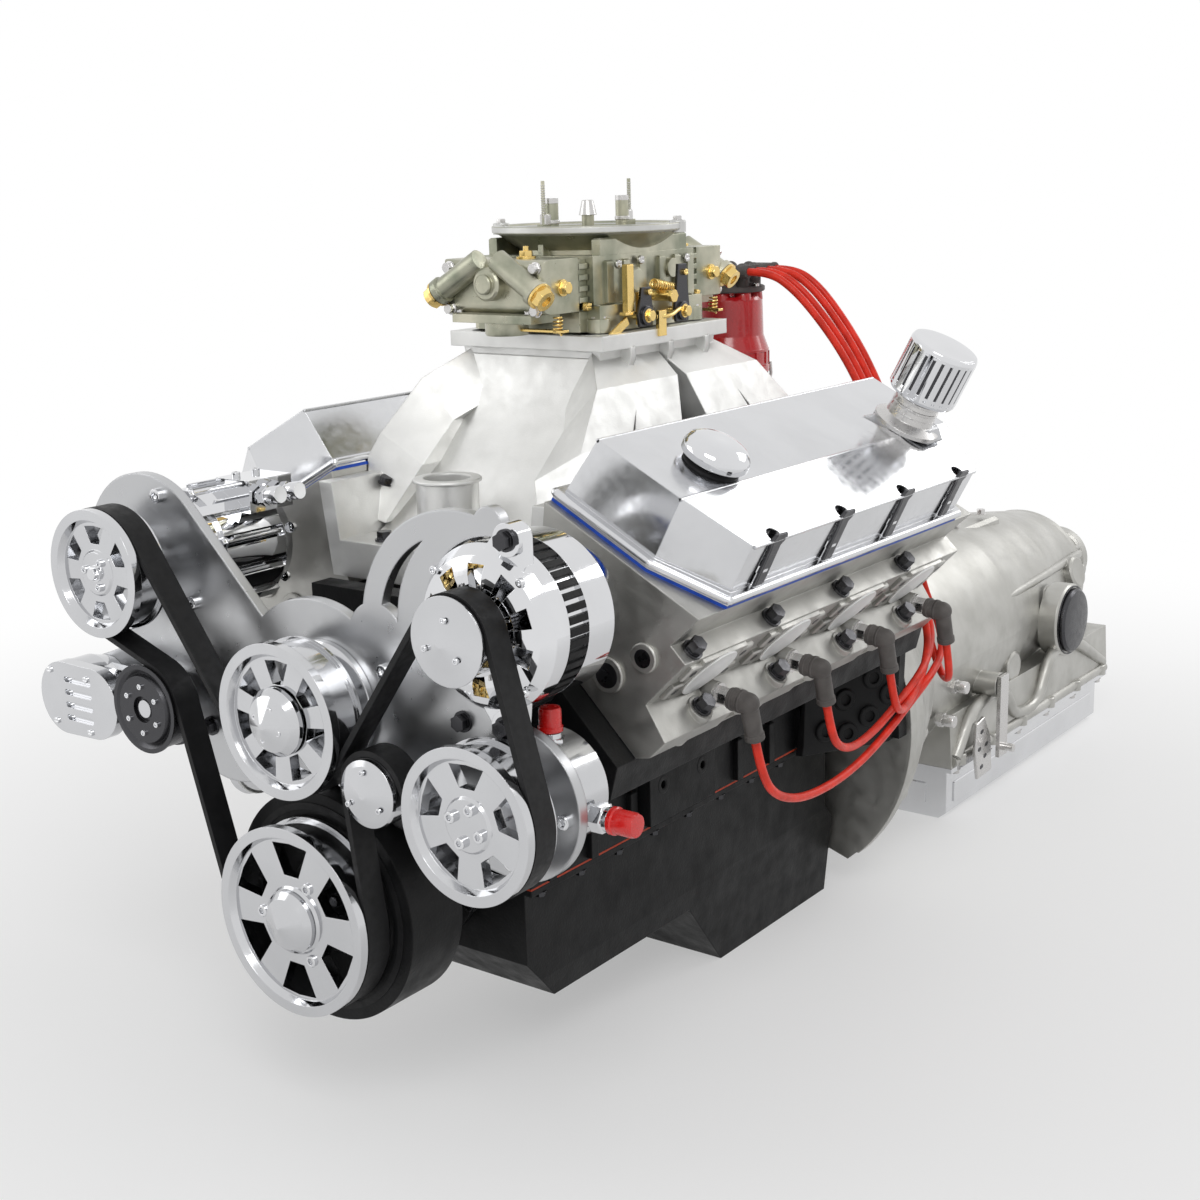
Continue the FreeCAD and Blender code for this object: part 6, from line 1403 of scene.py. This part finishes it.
def case_fittings():
    """The cooler fittings, the bolts on the top pad and the vent pipe of the case."""
    bm = bmesh.new()
    for z in (-64, -30):
        hose_fitting(bm, (132, 846 + z, z + 8), LEFT, 8, 24)
    for y in (1040, 1120):
        for x in (-30, 30):
            hex_head(bm, (x, y, 131), UP, 12, 7)
    pipe(bm, smooth_path([(40, 770, 118), (52, 768, 168), (40, 772, 196)]), 2.4, 10)
    finish_piece("case_fittings", bm, "machined_steel")


def linkage_bracket():
    """The selector's bracket, and dark patches painted as the shade in its slots."""
    at = stand((150, 870, -120), LEFT, (0, 1, 0.2))
    plate = bmesh.new()
    prism(plate, at, [(-18, -30), (22, -36), (26, 10), (12, 44), (-10, 44), (-20, 10)], 0, 4, 0.8)
    finish_piece("linkage_bracket", plate, "machined_steel")
    # Painted shade: dark patches stand in for the shade seen through each slot.
    slots = bmesh.new()
    for x, y in ((-6, -18), (6, -8), (12, 6), (-8, 8), (2, 28)):
        prism(slots, at @ Matrix.Translation((x, y, 4.02)), pill(9, 5), 0, 0.2)
    finish_piece("linkage_bracket_slot_painted_shade", slots, "dark_steel")


def trans_pan_details():
    """Bolts and pressed beads of the transmission's pan."""
    front, rear = TRANS_PAN_YS
    seats = [(x, front + 24 + 94.4 * i) for x in (-134, 134) for i in range(6)]
    seats += [(x, y) for y in (front + 6, rear - 6) for x in (-70, 0, 70)]
    bolts = bmesh.new()
    for x, y in seats:
        hex_head(bolts, (x, y, TRANS_PAN_RIM_Z), -UP, 11, 6)
    finish_piece("trans_pan_bolts", bolts, "machined_steel")
    beads = bmesh.new()
    for x in (-128, 128):
        slab(beads, stand((x, 1070, TRANS_PAN_BEAD_Z), UP), -1.5, 1.5, -228, 228, 0, 26, 1.2)
    for y in (front + 12, rear - 12):
        slab(beads, stand((0, y, TRANS_PAN_BEAD_Z), UP), -100, 100, -1.5, 1.5, 0, 26, 1.2)
    finish_piece("trans_pan_beads", beads, "chrome")


def tail_details():
    """The tail housing's bolts, ribs, end ring and speedometer boss."""
    bm = bmesh.new()
    for i in range(6):
        hex_head(bm, on_axis(CRANK, 82, 60 * i + 30, 1347.3), BACK, 12, 7)
    finish_piece("tail_bolts", bm, "machined_steel")
    bm = bmesh.new()
    for i in range(6):
        rib = [(80, 1350), (50, 1400), (46, 1460)]
        pipe(bm, [on_axis(CRANK, radius, 60 * i, y) for radius, y in rib], 4, 10)
    lathe(bm, stand((0, 1466, 0), BACK), [(44, -6), (48, -4), (48, 12), (46, 14), (44, 14)], 48)
    lathe(bm, stand((60, 1392, 4), LEFT), [(17, -26), (17, 4), (15, 6), (8, 6), (8, 16), (0, 16)], 28)
    finish_piece("tail_ribs", bm, "trans_cast")


# Room, light and camera

def seen_directly(nodes, links):
    """1 where the camera, a reflection or a refraction looks, and 0 for the light that falls on things."""
    path = nodes.new("ShaderNodeLightPath")
    seen = path.outputs["Is Camera Ray"]
    for ray in ("Is Glossy Ray", "Is Transmission Ray"):
        either = nodes.new("ShaderNodeMath")
        either.operation = "MAXIMUM"
        links.new(seen, either.inputs[0])
        links.new(path.outputs[ray], either.inputs[1])
        seen = either.outputs[0]
    return seen


def floor_material():
    """A pale surface near the engine that fades to plain white with distance."""
    material = shader("pale floor", (0.90, 0.90, 0.90), 0.0, 0.6)
    nodes = material.node_tree.nodes
    links = material.node_tree.links
    coords = nodes.new("ShaderNodeTexCoord")
    distance = nodes.new("ShaderNodeVectorMath")
    distance.operation = "LENGTH"
    fade = nodes.new("ShaderNodeMapRange")
    fade.interpolation_type = "SMOOTHSTEP"
    fade.inputs["From Min"].default_value = FLOOR_FADE[0]
    fade.inputs["From Max"].default_value = FLOOR_FADE[1]
    fade.inputs["To Min"].default_value = 0.4
    share = nodes.new("ShaderNodeMath")
    share.operation = "MULTIPLY"
    white = nodes.new("ShaderNodeEmission")
    white.inputs["Strength"].default_value = 1.0
    mix = nodes.new("ShaderNodeMixShader")
    links.new(coords.outputs["Object"], distance.inputs[0])
    links.new(distance.outputs["Value"], fade.inputs["Value"])
    links.new(fade.outputs["Result"], share.inputs[0])
    links.new(seen_directly(nodes, links), share.inputs[1])
    links.new(share.outputs["Value"], mix.inputs["Fac"])
    links.new(principled(material).outputs["BSDF"], mix.inputs[1])
    links.new(white.outputs["Emission"], mix.inputs[2])
    links.new(mix.outputs["Shader"], nodes["Material Output"].inputs["Surface"])
    return material


def add_floor():
    """A square floor that takes the shadow near the engine."""
    mesh = bpy.data.meshes.new("floor")
    corners = [(x * FLOOR_REACH, y * FLOOR_REACH, 0) for x, y in ((-1, -1), (1, -1), (1, 1), (-1, 1))]
    mesh.from_pydata(corners, [], [(0, 1, 2, 3)])
    mesh.materials.append(floor_material())
    floor = bpy.data.objects.new("floor", mesh)
    floor.location.z = -FLOOR_DROP
    bpy.context.scene.collection.objects.link(floor)


def add_lamp(name, place, size, power):
    data = bpy.data.lights.new(name, "AREA")
    data.shape = "RECTANGLE"
    data.size = size[0]
    data.size_y = size[1]
    data.energy = power
    lamp = bpy.data.objects.new(name, data)
    lamp.matrix_world = stand(place, Vector(place) - LAMP_TARGET)
    bpy.context.scene.collection.objects.link(lamp)


def light_room():
    """A room that lights things softly but is seen as plain white, and its lamps."""
    world = bpy.data.worlds.new("studio")
    bpy.context.scene.world = world
    world.use_nodes = True
    nodes = world.node_tree.nodes
    links = world.node_tree.links
    mix = nodes.new("ShaderNodeMixShader")
    links.new(seen_directly(nodes, links), mix.inputs["Fac"])
    glows = ((nodes["Background"], ROOM_LIGHT), (nodes.new("ShaderNodeBackground"), 1.0))
    for i, (glow, strength) in enumerate(glows):
        glow.inputs["Color"].default_value = (1.0, 1.0, 1.0, 1.0)
        glow.inputs["Strength"].default_value = strength
        links.new(glow.outputs[0], mix.inputs[i + 1])
    links.new(mix.outputs[0], nodes["World Output"].inputs["Surface"])
    for name, (place, size, power) in LAMPS.items():
        add_lamp(name, place, size, power)


def add_camera():
    data = bpy.data.cameras.new("camera")
    data.sensor_width = CAMERA_SENSOR
    data.lens = CAMERA_LENS
    camera = bpy.data.objects.new("camera", data)
    turn = Matrix(CAMERA_AXES).transposed().to_4x4()
    camera.matrix_world = Matrix.Translation(CAMERA_PLACE) @ turn
    bpy.context.scene.collection.objects.link(camera)
    bpy.context.scene.camera = camera


finishes = build_finishes()
dress_frame()
plug_wires()
pulley_screws()
clutch_hub()
idler_arm()
bracket_screws()
tensioner_screws()
alternator_windings()
alternator_fan()
alternator_bolts()
compressor_fittings()
steering_pump_fittings()
port_cap_grips()
water_pump_fittings()
damper_details()
head_details()
plug_details()
boot_details()
port_cover_rims()
cover_slot_painted_shade()
cover_screws()
cover_rail_edge()
weld_beads()
breather()
filler_gusset()
filler_cap_top()
intake_details()
front_web()
plenum_ribs()
air_horn()
vent_towers()
venturis()
carb_castings()
carb_linkage()
carb_screws()
throttle_levers()
distributor_cap_ribs()
wire_retainer()
distributor_screws()
terminal_boot_lips()
block_details()
pan_details()
timing_cover_details()
bell_details()
case_ribs()
servo_cover()
case_fittings()
linkage_bracket()
trans_pan_details()
tail_details()
fuel_bowls()
add_floor()
light_room()
add_camera()
bpy.context.scene.view_settings.view_transform = "Standard"
